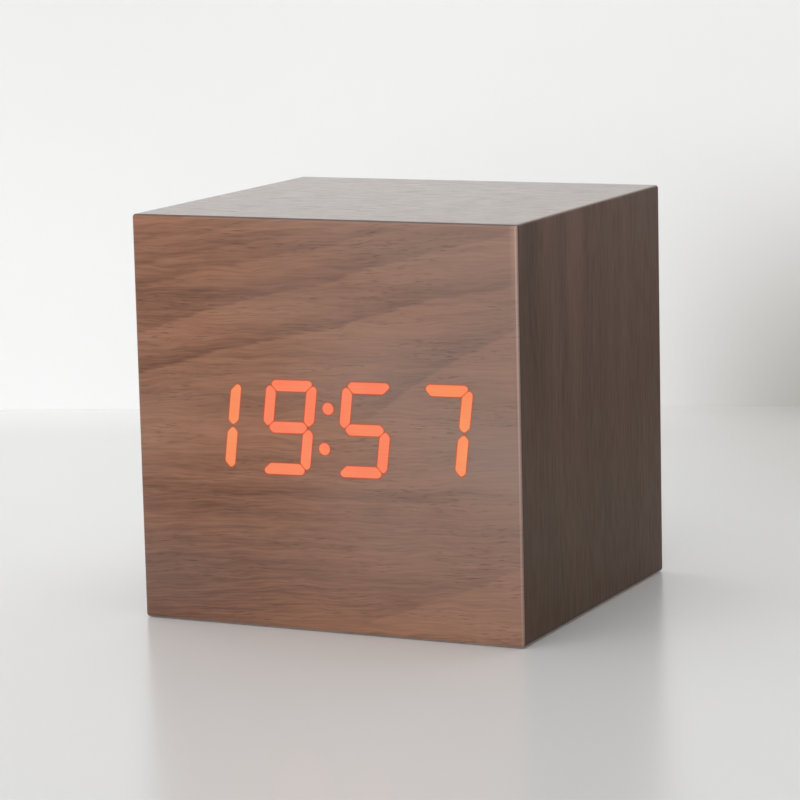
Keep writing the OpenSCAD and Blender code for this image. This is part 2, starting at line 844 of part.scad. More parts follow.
module clock_chip() {
    color("#26262a") on_strip(chip_x)
        translate([-clock_chip_size.x / 2, control_y0 - clock_chip_size.y, -clock_chip_size.z / 2])
            cube(clock_chip_size);
}

module quartz_crystal() {
    color("#c9c9cc") on_strip(crystal_x) translate([0, control_y0 - crystal_d / 2, -crystal_l / 2])
        cylinder(d = crystal_d, h = crystal_l);
}

display_plug_z = display_z - display_pcb_h / 2 + display_plug_lift;
ribbon_y0 = display_back_y + plug_size.y;
ribbon_y1 = control_y0 - plug_size.y;

// Eases from 0 to 1 with level ends
function level_ease(u) = u * u * (3 - 2 * u);

// Height of the ribbon's middle at a share u of the way from the display to the control board
function ribbon_at(u) =
    [ribbon_y0 + u * (ribbon_y1 - ribbon_y0), display_plug_z + level_ease(u) * (strip_z - display_plug_z)];

module ribbon_cable() {
    middle = [for (i = [0:ribbon_steps]) ribbon_at(i / ribbon_steps)];
    color("#9a9a9c") along_x(-ribbon_w / 2, ribbon_w / 2) polygon(concat(
        [for (p = middle) p + [0, ribbon_t / 2]],
        [for (i = [ribbon_steps:-1:0]) middle[i] - [0, ribbon_t / 2]]
    ));
}

// A plug of the ribbon cable, from the board at y = 0 along +Y, with a slot round its clamp
module ribbon_plug() {
    difference() {
        translate([-plug_size.x / 2, 0, -plug_size.z / 2]) cube(plug_size);
        for (s = [0, 1]) mirror([0, 0, s])
            translate([-plug_size.x / 2 - past, plug_clamp_y, plug_size.z / 2 - plug_wall / 2])
                cube([plug_size.x + 2 * past, plug_wall, plug_wall]);
    }
}

module ribbon_plugs() {
    color("#2a2a2c") {
        translate([0, display_back_y, display_plug_z]) ribbon_plug();
        translate([0, control_y0, strip_z]) mirror([0, 1, 0]) ribbon_plug();
    }
}

// Height of a cell's axis, counted from the lowest
function cell_z(i) = bay_low + (i + 0.5) * cell_step;

// Which way a cell's stud points along X: cells lie head to tail
function stud_side(i) = i == 1 ? 1 : -1;

// Turns to the side that a cell's stud points at, so that +X is the stud's side
module along_cell(i) {
    translate([0, cell_y, cell_z(i)]) mirror([stud_side(i) < 0 ? 1 : 0, 0, 0]) children();
}

stud_tip_x = bay_w / 2 - plate_t - pip_h - contact_gap;

module cell(i) {
    along_cell(i) translate([stud_tip_x - cell_l, 0, 0]) rotate([0, 90, 0]) rotate_extrude() polygon([
        [0, 0], [cell_d / 2 - cell_bevel, 0], [cell_d / 2, cell_bevel],
        [cell_d / 2, cell_l - stud_l - cell_bevel], [cell_d / 2 - cell_bevel, cell_l - stud_l],
        [stud_d / 2, cell_l - stud_l], [stud_d / 2, cell_l], [0, cell_l]
    ]);
}

module battery_cell_lower() { color("#3f4a44") cell(0); }
module battery_cell_middle() { color("#3f4a44") cell(1); }
module battery_cell_upper() { color("#3f4a44") cell(2); }

// A contact plate against one end of the bay, over cells i to j
module contact_plate(side, i, j) {
    low = cell_z(i) - plate_w / 2;
    x = side * (bay_w - plate_t) / 2;
    translate([x - plate_t / 2, bay_floor_y + plate_lift, low])
        cube([plate_t, cell_d - 2 * plate_lift, cell_z(j) + plate_w / 2 - low]);
}

// The solder tab of an end plate, through the bay's floor
module plate_tab(side, i) {
    translate([side * (bay_w - plate_t) / 2 - plate_t / 2, bay_back_y - tab_out, cell_z(i) - plate_tab_w / 2])
        cube([plate_t, bay_wall + tab_out + plate_lift, plate_tab_w]);
}

module contact_plates() {
    color("#c9c6bd") {
        contact_plate(-1, 2, 2);
        plate_tab(-1, 2);
        contact_plate(-1, 0, 1);
        contact_plate(1, 1, 2);
        contact_plate(1, 0, 0);
        plate_tab(1, 0);
        for (i = [0:2]) along_cell(i) translate([bay_w / 2 - plate_t - pip_h, 0, 0])
            rotate([0, 90, 0]) cylinder(d = pip_d, h = pip_h);
    }
}

function unit(v) = v / norm(v);

// Direction of a path at its point i
function path_dir(path, i) =
    unit(path[min(i + 1, len(path) - 1)] - path[max(i - 1, 0)]);

// A round tube along a path: rings of points square to the path, turned by a side direction
module swept_tube(path, r, sides, side_dir) {
    rings = [for (i = [0:len(path) - 1])
        let (t = path_dir(path, i), u = unit(cross(side_dir, t)), v = cross(t, u))
        for (k = [0:sides - 1]) path[i] + r * (cos(360 * k / sides) * u + sin(360 * k / sides) * v)];
    last = (len(path) - 1) * sides;
    walls = [for (i = [0:len(path) - 2], k = [0:sides - 1])
        let (a = i * sides + k, b = i * sides + (k + 1) % sides)
        each [[a, a + sides, b + sides], [a, b + sides, b]]];
    caps = [for (k = [1:sides - 2]) each [[0, k, k + 1], [last, last + k + 1, last + k]]];
    polyhedron(points = rings, faces = concat(walls, caps));
}

// Centre line of a contact spring along -X: a cone that winds from the plate to the cell
spring_x0 = -bay_w / 2 + plate_t + contact_gap + spring_wire / 2;
spring_x1 = stud_tip_x - cell_l - contact_gap - spring_wire / 2;
spring_points = spring_turns * spring_rings;
spring_path = [for (i = [0:spring_points])
    let (u = i / spring_points, r = spring_base_r + u * (spring_tip_r - spring_base_r), a = 360 * spring_turns * u)
    [spring_x0 + u * (spring_x1 - spring_x0), r * cos(a), r * sin(a)]];
spring_least_gap = min([for (i = [0:spring_points], j = [i:spring_points])
    if (j - i > spring_rings / 2) norm(spring_path[i] - spring_path[j])]) - spring_wire;
echo("least gap between the turns of a contact spring", spring_least_gap);

module contact_springs() {
    color("#d2cfc6") for (i = [0:2]) along_cell(i)
        swept_tube(spring_path, spring_wire / 2, spring_sides, [1, 0, 0]);
}

// Places a lead's route at the back of the battery bay
module at_bay_back() {
    translate([0, bay_back_y, cell_z(0)]) children();
}

module positive_lead() {
    color("#b3261e") at_bay_back() swept_tube(positive_route, lead_d / 2, lead_sides, [0, 0, 1]);
}

module negative_lead() {
    color("#1a1a1a") at_bay_back() swept_tube(negative_route, lead_d / 2, lead_sides, [0, 0, 1]);
}

front_veneer();
top_veneer();
bottom_veneer();
left_veneer();
right_veneer();
rear_edging();
front_board();
top_board();
bottom_board();
left_board();
right_board();
corner_blocks();
diffuser_film();
segment_mask();
segment_lenses();
colon_lenses();
led_chips();
display_board();
display_spacers();
display_screws();
driver_chip();
smoothing_capacitor();
rear_cover();
cover_screws();
battery_door();
set_button();
up_button();
down_button();
set_plunger();
up_plunger();
down_plunger();
switch_bodies();
control_board();
board_screws();
usb_shell();
usb_tongue();
microphone();
microphone_boot();
sounder();
clock_chip();
quartz_crystal();
ribbon_cable();
ribbon_plugs();
battery_cell_lower();
battery_cell_middle();
battery_cell_upper();
contact_plates();
contact_springs();
positive_lead();
negative_lead();
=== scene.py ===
"""Looks of a veneered desk clock with a hidden display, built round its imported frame.

Lengths are written in millimetres and carried into the frame's metres by MM. The front looks along -Y.
"""

import logging
import math
from dataclasses import dataclass
from enum import Enum

import bpy
import numpy as np
from mathutils import Matrix, Vector


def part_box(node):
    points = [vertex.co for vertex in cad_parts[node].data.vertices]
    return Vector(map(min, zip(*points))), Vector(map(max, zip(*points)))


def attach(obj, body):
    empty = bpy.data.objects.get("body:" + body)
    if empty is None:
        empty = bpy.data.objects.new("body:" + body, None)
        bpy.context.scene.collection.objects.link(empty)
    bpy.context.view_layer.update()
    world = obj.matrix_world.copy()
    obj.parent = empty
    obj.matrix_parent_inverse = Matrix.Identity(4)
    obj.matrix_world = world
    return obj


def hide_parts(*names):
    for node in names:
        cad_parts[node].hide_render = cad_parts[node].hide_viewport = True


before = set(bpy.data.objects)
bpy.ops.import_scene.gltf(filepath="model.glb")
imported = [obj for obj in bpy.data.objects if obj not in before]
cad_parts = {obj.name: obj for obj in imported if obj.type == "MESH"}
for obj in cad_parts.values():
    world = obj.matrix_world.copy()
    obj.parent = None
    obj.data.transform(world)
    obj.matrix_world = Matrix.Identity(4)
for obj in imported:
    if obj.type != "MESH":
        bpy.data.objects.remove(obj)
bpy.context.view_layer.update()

MM = 0.001
CASE = "case"
LOG = logging.getLogger("desk_clock")
Material = bpy.types.Material
Socket = bpy.types.NodeSocket
Value = Socket | float
Pair = tuple[float, float]
Triple = tuple[float, float, float]


def tone(code: str) -> tuple[float, float, float, float]:
    """Turns a colour as it shows on a screen into the linear colour that shaders use.

    Args:
        code: Six hexadecimal digits, two each for red, green and blue.

    Returns:
        Linear red, green, blue and an alpha of 1.
    """
    shown = np.array([int(code[i:i + 2], 16) for i in (0, 2, 4)]) / 255
    linear = np.where(shown <= 0.04045, shown / 12.92, ((shown + 0.055) / 1.055) ** 2.4)
    return (*linear.tolist(), 1.0)


class Graph:
    """Adds nodes to one node tree and joins them."""

    def __init__(self, tree: bpy.types.NodeTree) -> None:
        """Keeps the tree that the nodes go into."""
        self.tree = tree

    def fill(self, socket: Socket, value: Value | tuple | str) -> None:
        """Joins an input to an output, or sets its plain value.

        Args:
            socket: The input to fill.
            value: An output, a number, a vector, or the six hexadecimal digits of a colour.
        """
        if isinstance(value, bpy.types.NodeSocket):
            self.tree.links.new(value, socket)
        else:
            socket.default_value = tone(value) if isinstance(value, str) else value

    def feed(self, node: bpy.types.Node, inputs: dict) -> None:
        """Fills several inputs of a node, by their names or numbers."""
        for key, value in inputs.items():
            self.fill(node.inputs[key], value)

    def add(self, kind: str, inputs: dict, **options: object) -> bpy.types.Node:
        """Adds one node.

        Args:
            kind: Blender's name for the type of node.
            inputs: Values or outputs by the name or number of the input.
            **options: The node's own settings.

        Returns:
            The new node.
        """
        node = self.tree.nodes.new(kind)
        for option, value in options.items():
            setattr(node, option, value)
        self.feed(node, inputs)
        return node

    def use(self, group: bpy.types.NodeTree, place: Socket, **values: Value) -> bpy.types.NodeOutputs:
        """Puts a shared node group in at a place, with its own values, and returns its outputs."""
        return self.add("ShaderNodeGroup", {"Vector": place, **values}, node_tree=group).outputs

    def math(self, operation: str, a: Value, b: Value = 0.0) -> Socket:
        """Returns the result of one sum on a and b."""
        return self.add("ShaderNodeMath", {0: a, 1: b}, operation=operation).outputs[0]

    def plus(self, *terms: Value) -> Value:
        """Returns the terms added up."""
        total = terms[0]
        for term in terms[1:]:
            total = self.math("ADD", total, term)
        return total

    def minus(self, a: Value, b: Value) -> Socket:
        """Returns a less b."""
        return self.math("SUBTRACT", a, b)

    def times(self, a: Value, b: Value) -> Socket:
        """Returns a times b."""
        return self.math("MULTIPLY", a, b)

    def over(self, a: Value, b: Value) -> Socket:
        """Returns a divided by b."""
        return self.math("DIVIDE", a, b)

    def size_of(self, a: Value) -> Socket:
        """Returns a without its sign."""
        return self.math("ABSOLUTE", a)

    def ramp(self, value: Socket, low: float, high: float, start: float = 0.0, end: float = 1.0) -> Socket:
        """Eases a value from start to end as it goes from low to high.

        Args:
            value: What drives the ramp.
            low: Where the ramp starts.
            high: Where the ramp ends.
            start: Result at and below low.
            end: Result at and above high.

        Returns:
            The eased value.
        """
        inputs = {"Value": value, "From Min": low, "From Max": high, "To Min": start, "To Max": end}
        return self.add("ShaderNodeMapRange", inputs, interpolation_type="SMOOTHSTEP").outputs["Result"]

    def blend(self, share: Value, a: Socket | tuple | str, b: Socket | tuple | str) -> Socket:
        """Returns colour a with a share of colour b over it."""
        return self.add("ShaderNodeMix", {0: share, 6: a, 7: b}, data_type="RGBA").outputs[2]

    def vector(self, operation: str, a: Value | tuple, b: Value | tuple) -> Socket:
        """Returns the result of one sum on the vectors a and b."""
        return self.add("ShaderNodeVectorMath", {0: a, 1: b}, operation=operation).outputs[0]

    def noise(self, place: Socket, size: Triple, detail: float) -> Socket:
        """Returns soft noise from 0 to 1.

        Args:
            place: Where the noise is read.
            size: Waves for each unit of the place, along its three axes.
            detail: Octaves of finer noise.

        Returns:
            The noise value.
        """
        inputs = {"Vector": self.vector("MULTIPLY", place, size), "Scale": 1.0, "Detail": detail}
        return self.add("ShaderNodeTexNoise", inputs).outputs[0]

    def waver(self, place: Socket, size: Triple, detail: float, reach: float) -> Socket:
        """Returns noise about zero, with half of the reach to either side."""
        return self.times(self.minus(self.noise(place, size, detail), 0.5), reach)

    def split(self, place: Socket) -> list[Socket]:
        """Returns the three parts of a vector."""
        return list(self.add("ShaderNodeSeparateXYZ", {0: place}).outputs)

    def join(self, x: Value, y: Value, z: Value) -> Socket:
        """Returns a vector of three parts."""
        return self.add("ShaderNodeCombineXYZ", {0: x, 1: y, 2: z}).outputs[0]

    def place(self) -> Socket:
        """Returns the object's own coordinates in millimetres."""
        own = self.add("ShaderNodeTexCoord", {}).outputs["Object"]
        return self.add("ShaderNodeVectorMath", {0: own, "Scale": 1 / MM}, operation="SCALE").outputs[0]

    def relief(self, shader: bpy.types.Node, height: Socket, depth: float) -> None:
        """Feeds a shader's normal from a height between 0 and 1.

        Args:
            shader: The shader whose normal is fed.
            height: The height over the surface.
            depth: What a height of 1 stands for, in millimetres.
        """
        bump = self.add("ShaderNodeBump", {"Height": height, "Strength": 1.0, "Distance": depth * MM})
        self.fill(shader.inputs["Normal"], bump.outputs[0])


@dataclass(frozen=True)
class NoiseMask:
    """A mask of soft noise: waves along three axes, octaves, and the noise where it starts and is full."""

    size: Triple
    detail: float
    low: float
    high: float

    def draw(self, graph: Graph, place: Socket, most: float = 1.0) -> Socket:
        """Returns the mask at a place, from 0 to most."""
        return graph.ramp(graph.noise(place, self.size, self.detail), self.low, self.high, 0.0, most)


GRAIN_MASKS = {
    "Band": NoiseMask((0.010, 0.17, 1.0), 3.0, 0.36, 0.66),
    "Streak": NoiseMask((0.035, 1.10, 1.0), 4.0, 0.36, 0.68),
    "Fibre": NoiseMask((0.17, 3.2, 1.0), 3.0, 0.34, 0.68),
}
PORE_DASHES = NoiseMask((0.38, 4.6, 1.0), 2.0, 0.55, 0.68)
PORE_PATCHES = NoiseMask((0.05, 0.25, 2.0), 2.0, 0.38, 0.62)
GREY_CLOUDS = NoiseMask((0.018, 0.035, 1.0), 1.0, 0.42, 0.68)
SKIN_CLOUDS = NoiseMask((0.13, 0.13, 0.13), 3.0, 0.3, 0.7)
SKIN_GRAINS = NoiseMask((1.0, 1.0, 1.0), 1.0, 0.3, 0.7)
WARM_PATCHES = NoiseMask((0.13, 0.13, 0.13), 1.0, 0.36, 0.70)

# Wanders of the grain: waves along three axes, octaves, and the reach where it is always the same
GRAIN_WANDER = ((0.02, 0.06, 1.0), 2.0, 3.2)
EDGE_SLOW = ((0.06, 0.03, 1.0), 2.0, 3.4)
EDGE_QUICK = ((0.16, 2.8, 1.0), 3.0, 1.6)
EDGE_RISE = (-0.25, 0.30)
LEVEL_RIPPLE = ((0.13, 0.22, 1.0), 1.0)


def start_group(name: str, values: tuple[str, ...], results: tuple[str, ...]
                ) -> tuple[Graph, bpy.types.NodeOutputs, bpy.types.NodeInputs]:
    """Starts a shader node group that is read at a place and puts out values.

    Args:
        name: Name of the group.
        values: Names of its inputs besides the place.
        results: Names of its outputs.

    Returns:
        The group's graph, what comes in and what goes out.
    """
    tree = bpy.data.node_groups.new(name, "ShaderNodeTree")
    tree.interface.new_socket("Vector", in_out="INPUT", socket_type="NodeSocketVector")
    for label in values:
        tree.interface.new_socket(label, in_out="INPUT", socket_type="NodeSocketFloat")
    for label in results:
        tree.interface.new_socket(label, in_out="OUTPUT", socket_type="NodeSocketFloat")
    return Graph(tree), tree.nodes.new("NodeGroupInput").outputs, tree.nodes.new("NodeGroupOutput").inputs


def make_grain_group() -> bpy.types.NodeTree:
    """Builds the grain of a wood: broad bands, streaks, fibres and open pores along the first axis.

    Each is noise drawn out along the grain. The whole wanders by a slow noise across the grain.

    Returns:
        The node group.
    """
    graph, entry, leave = start_group("wood_grain", (), (*GRAIN_MASKS, "Pore"))
    along, across, layer = graph.split(entry["Vector"])
    wander = graph.waver(entry["Vector"], *GRAIN_WANDER)
    bent = graph.join(along, graph.plus(across, wander), layer)
    for label, mask in GRAIN_MASKS.items():
        graph.fill(leave[label], mask.draw(graph, bent))
    graph.fill(leave["Pore"], graph.times(PORE_DASHES.draw(graph, bent), PORE_PATCHES.draw(graph, bent)))
    return graph.tree


def make_edge_group() -> bpy.types.NodeTree:
    """Builds one growth edge: dark just above a sloping line and fading away over it.

    The height over the line is across - slope * along - level, with a slow and a quick waver.

    Returns:
        The node group.
    """
    graph, entry, leave = start_group("growth_edge", ("Slope", "Level", "Fade"), ("Shade",))
    place = entry["Vector"]
    along, across, _ = graph.split(place)
    line = graph.plus(graph.times(along, entry["Slope"]), entry["Level"])
    slow = graph.waver(place, *EDGE_SLOW)
    quick = graph.waver(place, *EDGE_QUICK)
    height = graph.plus(graph.minus(across, line), slow, quick)
    gone = graph.ramp(graph.over(height, entry["Fade"]), 0.0, 1.0, 1.0, 0.0)
    graph.fill(leave["Shade"], graph.times(graph.ramp(height, *EDGE_RISE), gone))
    return graph.tree


def make_skin_group() -> bpy.types.NodeTree:
    """Builds a moulded or sprayed skin: fine even grains and slow clouds, at a given grain size.

    Returns:
        The node group.
    """
    graph, entry, leave = start_group("moulded_skin", ("Grain",), ("Cloud", "Grains"))
    graph.fill(leave["Cloud"], SKIN_CLOUDS.draw(graph, entry["Vector"]))
    sizes = graph.join(entry["Grain"], entry["Grain"], entry["Grain"])
    graph.fill(leave["Grains"], SKIN_GRAINS.draw(graph, graph.vector("DIVIDE", entry["Vector"], sizes)))
    return graph.tree


GRAIN = make_grain_group()
EDGE = make_edge_group()
SKIN = make_skin_group()


def start_material(name: str) -> tuple[Material, Graph, bpy.types.Node]:
    """Starts a material.

    Args:
        name: Name of the material.

    Returns:
        The material, its graph and its Principled shader.
    """
    material = bpy.data.materials.new(name)
    material.use_nodes = True
    return material, Graph(material.node_tree), material.node_tree.nodes["Principled BSDF"]


class GrainRun(Enum):
    """How a veneer's grain lies: the axis along the grain and the axis across it."""

    ACROSS_FRONT = (0, 2)
    ACROSS_TOP = (0, 1)
    UPRIGHT = (2, 1)


@dataclass(frozen=True)
class GrowthEdge:
    """One growth edge of a veneer: its slope, its height in the middle, how far it fades and its depth.

    It begins at starts, measured along the grain, and is full after start_l.
    """

    slope: float
    level: float
    fade: float
    depth: float
    starts: float = -60.0
    start_l: float = 10.0

    def shade(self, graph: Graph, place: Socket, along: Socket) -> Socket:
        """Returns the edge's darkness at a place, given with its part along the grain."""
        edge = graph.use(EDGE, place, Slope=self.slope, Level=self.level, Fade=self.fade)
        begun = graph.ramp(along, self.starts, self.starts + self.start_l, 0.0, self.depth)
        return graph.times(edge["Shade"], begun)


@dataclass(frozen=True)
class TonePatch:
    """A soft oval of another tone: its middle and half sizes along and across the grain, and its depth."""

    along: float
    across: float
    length: float
    width: float
    depth: float
    full: float = 0.15

    def shade(self, graph: Graph, along: Socket, across: Socket) -> Socket:
        """Works out the patch's strength, full near its middle and gone at its rim.

        Args:
            graph: The graph that the patch goes into.
            along: Place along the grain.
            across: Place across the grain.

        Returns:
            The strength at that place.
        """
        u = graph.over(graph.minus(along, self.along), self.length)
        v = graph.over(graph.minus(across, self.across), self.width)
        away = graph.add("ShaderNodeVectorMath", {0: graph.join(u, v, 0.0)}, operation="LENGTH")
        return graph.ramp(away.outputs["Value"], self.full, 1.0, self.depth, 0.0)


@dataclass(frozen=True)
class EdgeLine:
    """A thin line along an edge: the axis it is measured on, its place, half width, colour and strength.

    Where fades is given, the line is gone at the first of these heights and full at the second.
    """

    axis: int
    at: float
    half: float
    colour: str
    depth: float
    fades: Pair | None = None
    full: float = 0.3

    def draw(self, graph: Graph, axes: list[Socket], under: Socket) -> Socket:
        """Draws the line over a colour.

        Args:
            graph: The graph that the line goes into.
            axes: Place by axis.
            under: The colour without the line.

        Returns:
            The colour with the line.
        """
        away = graph.size_of(graph.minus(axes[self.axis], self.at))
        strength = graph.ramp(away, self.half * self.full, self.half, self.depth, 0.0)
        if self.fades:
            strength = graph.times(strength, graph.ramp(axes[2], *self.fades))
        return graph.blend(strength, under, self.colour)


GLUE_LINE = EdgeLine(1, -30.15, 0.42, "2e1b15", 0.85)
# Painted shadow: a dark line along the bottom edge of each side, where the case meets the table.
PAINTED_FOOT_SHADOW = EdgeLine(2, 0.15, 0.60, "2b1d16", 0.80)


@dataclass(frozen=True)
class WalnutFinish:
    """Satin walnut veneer with fine open pores."""

    name: str
    run: GrainRun
    # The default browns and grey are set lighter and greyer than bare walnut: partly the wood's own tone,
    # partly painted sheen.
    light: str = "976950"
    dark: str = "5e3a29"
    grey: str = "8e7c74"
    layer: float = 0.0
    edges: tuple[GrowthEdge, ...] = ()
    patches: tuple[TonePatch, ...] = ()
    tint_and_sheen: tuple[TonePatch, ...] = ()
    roughness: float = 0.36
    gloss: float = 0.0
    shine: float = 0.5
    bands: float = 0.24
    streaks: float = 0.22
    fibres: float = 0.27
    pores: float = 0.42
    rise: float = 0.0
    waver: float = 0.0
    spread: float = 1.0
    sunk: float = 0.02
    lines: tuple[EdgeLine, ...] = (GLUE_LINE,)
    mitre: Pair | None = None

    PORE_BROWN = "2c1c15"
    SEAM_BROWN = "1e130e"
    CLOUD_SHARE = 0.22
    FIBRE_CUT = 0.30
    COAT_ROUGHNESS = 0.12
    SEAM = (0.02, 0.13, 0.75, 0.0)
    SMOOTHER = 0.05
    ROUGHER = 0.07

    def follow_frame(self, graph: Graph, axes: list[Socket]) -> tuple[Socket, Socket, Socket]:
        """Turns the grain along each side of a mitred frame, about the frame's middle.

        A point belongs to an upright side where |x| - |z - middle| is over half of the frame's width
        less its height.

        Args:
            graph: The graph that the grain goes into.
            axes: Place by axis.

        Returns:
            The places along and across the grain, and the distance from the nearest mitre.
        """
        middle, excess = self.mitre
        x, z = axes[0], graph.minus(axes[2], middle)
        beyond = graph.minus(graph.minus(graph.size_of(x), graph.size_of(z)), excess)
        swing = graph.times(graph.math("GREATER_THAN", beyond, 0.0), graph.minus(z, x))
        return graph.plus(x, swing), graph.minus(z, swing), graph.size_of(beyond)

    def material(self) -> Material:
        """Makes the veneer: grain between two browns, growth edges, clouds, and pores cut into the lacquer.

        Returns:
            The material.
        """
        made, graph, shader = start_material(self.name)
        axes = graph.split(graph.place())
        along, across = (axes[axis] for axis in self.run.value)
        if self.mitre:
            along, across, from_mitre = self.follow_frame(graph, axes)
        place = graph.join(along, across, self.layer)
        level = graph.minus(across, graph.times(along, self.rise))
        if self.waver:
            level = graph.plus(level, graph.waver(place, *LEVEL_RIPPLE, self.waver))
        grain = graph.use(GRAIN, graph.join(along, graph.over(level, self.spread), self.layer))
        depths = zip(GRAIN_MASKS, (self.bands, self.streaks, self.fibres))
        shades = [graph.times(grain[label], depth) for label, depth in depths]
        shades += [edge.shade(graph, place, along) for edge in self.edges]
        shades += [patch.shade(graph, along, across) for patch in self.patches]
        wood = graph.blend(graph.plus(*shades), self.light, self.dark)
        clouds = [GREY_CLOUDS.draw(graph, place, self.CLOUD_SHARE)]
        # On the front these patches include painted sheen.
        clouds += [patch.shade(graph, along, across) for patch in self.tint_and_sheen]
        wood = graph.blend(graph.plus(*clouds), wood, self.grey)
        wood = graph.blend(graph.times(grain["Pore"], self.pores), wood, self.PORE_BROWN)
        for line in self.lines:
            wood = line.draw(graph, axes, wood)
        if self.mitre:
            wood = graph.blend(graph.ramp(from_mitre, *self.SEAM), wood, self.SEAM_BROWN)
        ends = (self.roughness - self.SMOOTHER, self.roughness + self.ROUGHER)
        rough = graph.ramp(grain["Fibre"], 0.0, 1.0, *ends)
        graph.feed(shader, {"Base Color": wood, "Roughness": rough, "Specular IOR Level": self.shine,
                            "Coat Weight": self.gloss, "Coat Roughness": self.COAT_ROUGHNESS})
        cut = graph.plus(grain["Pore"], graph.times(grain["Fibre"], self.FIBRE_CUT))
        graph.relief(shader, graph.minus(1.0, cut), self.sunk)
        return made


@dataclass(frozen=True)
class TimberFinish:
    """Bare wood inside the case: sawn softwood or pressed fibre."""

    name: str
    light: str
    dark: str
    speck: float
    run: GrainRun = GrainRun.ACROSS_TOP
    layer: float = 3.0
    speck_d: float = 0.35
    roughness: float = 0.8
    depth: float = 0.05

    def material(self) -> Material:
        """Makes bare wood from the shared grain and a speckle of pressed fibres.

        Returns:
            The material.
        """
        made, graph, shader = start_material(self.name)
        place = graph.place()
        axes = graph.split(place)
        along, across = (axes[axis] for axis in self.run.value)
        grain = graph.use(GRAIN, graph.join(along, across, self.layer))
        skin = graph.use(SKIN, place, Grain=self.speck_d)
        lines = graph.times(grain["Streak"], 1 - self.speck)
        shade = graph.plus(lines, graph.times(skin["Grains"], self.speck))
        wood = graph.blend(shade, self.light, self.dark)
        graph.feed(shader, {"Base Color": wood, "Roughness": self.roughness})
        graph.relief(shader, shade, self.depth)
        return made


@dataclass(frozen=True)
class MouldedFinish:
    """Moulded plastic, rubber, epoxy or lacquer with an even fine grain."""

    name: str
    colour: str
    cloud: str
    grain: float
    depth: float
    roughness: float
    cloud_share: float = 0.6
    uneven: float = 0.06

    def material(self) -> Material:
        """Makes a skin of fine grains whose colour drifts a little towards the cloud colour.

        Returns:
            The material.
        """
        made, graph, shader = start_material(self.name)
        skin = graph.use(SKIN, graph.place(), Grain=self.grain)
        clouds = graph.times(skin["Cloud"], self.cloud_share)
        share = graph.plus(clouds, graph.times(skin["Grains"], 1 - self.cloud_share))
        ends = (self.roughness - self.uneven, self.roughness + self.uneven)
        graph.feed(shader, {"Base Color": graph.blend(share, self.colour, self.cloud),
                            "Roughness": graph.ramp(skin["Cloud"], 0.0, 1.0, *ends)})
        graph.relief(shader, skin["Grains"], self.depth)
        return made


@dataclass(frozen=True)
class DrawnMetalFinish:
    """Plated steel with fine drawn lines along one axis."""

    name: str
    colour: str
    dull: str
    lines: Triple
    roughness: float
    octaves: float = 3.0
    eased: Pair = (0.3, 0.7)
    smoother: float = 0.08
    rougher: float = 0.12
    cloud_d: float = 0.5
    depth: float = 0.01

    def material(self) -> Material:
        """Makes metal whose lines are noise drawn out along one axis, dulled by slow clouds.

        Returns:
            The material.
        """
        made, graph, shader = start_material(self.name)
        place = graph.place()
        lines = NoiseMask(self.lines, self.octaves, *self.eased).draw(graph, place)
        share = graph.times(graph.plus(lines, graph.use(SKIN, place, Grain=self.cloud_d)["Cloud"]), 0.5)
        ends = (self.roughness - self.smoother, self.roughness + self.rougher)
        rough = graph.ramp(share, 0.0, 1.0, *ends)
        graph.feed(shader, {"Base Color": graph.blend(share, self.colour, self.dull), "Roughness": rough,
                            "Metallic": 1.0})
        graph.relief(shader, lines, self.depth)
        return made


@dataclass(frozen=True)
class CircuitFinish:
    """Solder mask over copper areas."""

    name: str
    mask: str = "1d4a2a"
    copper: str = "2f6f3f"
    step: float = 0.7
    areas: float = 0.42
    border: Pair = (0.06, 0.12)
    roughness: Pair = (0.45, 0.33)
    depth: float = 0.03

    def material(self) -> Material:
        """Makes solder mask that is lighter over square-cornered copper areas.

        Returns:
            The material.
        """
        made, graph, shader = start_material(self.name)
        inputs = {"Vector": graph.vector("SNAP", graph.place(), (self.step,) * 3), "Scale": self.areas}
        areas = graph.add("ShaderNodeTexVoronoi", inputs, feature="DISTANCE_TO_EDGE")
        copper = graph.ramp(areas.outputs["Distance"], *self.border)
        graph.feed(shader, {"Base Color": graph.blend(copper, self.mask, self.copper),
                            "Roughness": graph.ramp(copper, 0.0, 1.0, *self.roughness)})
        graph.relief(shader, copper, self.depth)
        return made


@dataclass(frozen=True)
class CellFinish:
    """A dry cell: a plain shrink jacket between bare metal ends."""

    name: str
    stud_side: float
    body_half: float
    jacket: str = "3c4a44"
    cloud: str = "202622"
    band: str = "a8813c"
    steel: str = "c3c0b8"
    band_l: float = 9.0
    bare_l: float = 0.7
    band_edge: float = 0.1
    jacket_edge: float = 0.08
    cloud_share: float = 0.2
    roughness: Pair = (0.26, 0.36)
    grain: float = 0.4
    depth: float = 0.004

    def material(self) -> Material:
        """Makes the jacket with a plain band at the stud end, and bare steel beyond the jacket's ends.

        Returns:
            The material.
        """
        made, graph, shader = start_material(self.name)
        place = graph.place()
        reach = graph.times(graph.split(place)[0], self.stud_side)
        skin = graph.use(SKIN, place, Grain=self.grain)
        end = self.body_half - self.bare_l
        banded = graph.ramp(reach, end - self.band_l, end - self.band_l + self.band_edge)
        paint = graph.blend(banded, self.jacket, self.band)
        paint = graph.blend(graph.times(skin["Cloud"], self.cloud_share), paint, self.cloud)
        flat_end = graph.ramp(reach, -end - self.jacket_edge, -end, 1.0, 0.0)
        bare = graph.math("MAXIMUM", graph.ramp(reach, end, end + self.jacket_edge), flat_end)
        graph.feed(shader, {"Base Color": graph.blend(bare, paint, self.steel), "Metallic": bare,
                            "Roughness": graph.ramp(skin["Cloud"], 0.0, 1.0, *self.roughness)})
        graph.relief(shader, skin["Grains"], self.depth)
        return made


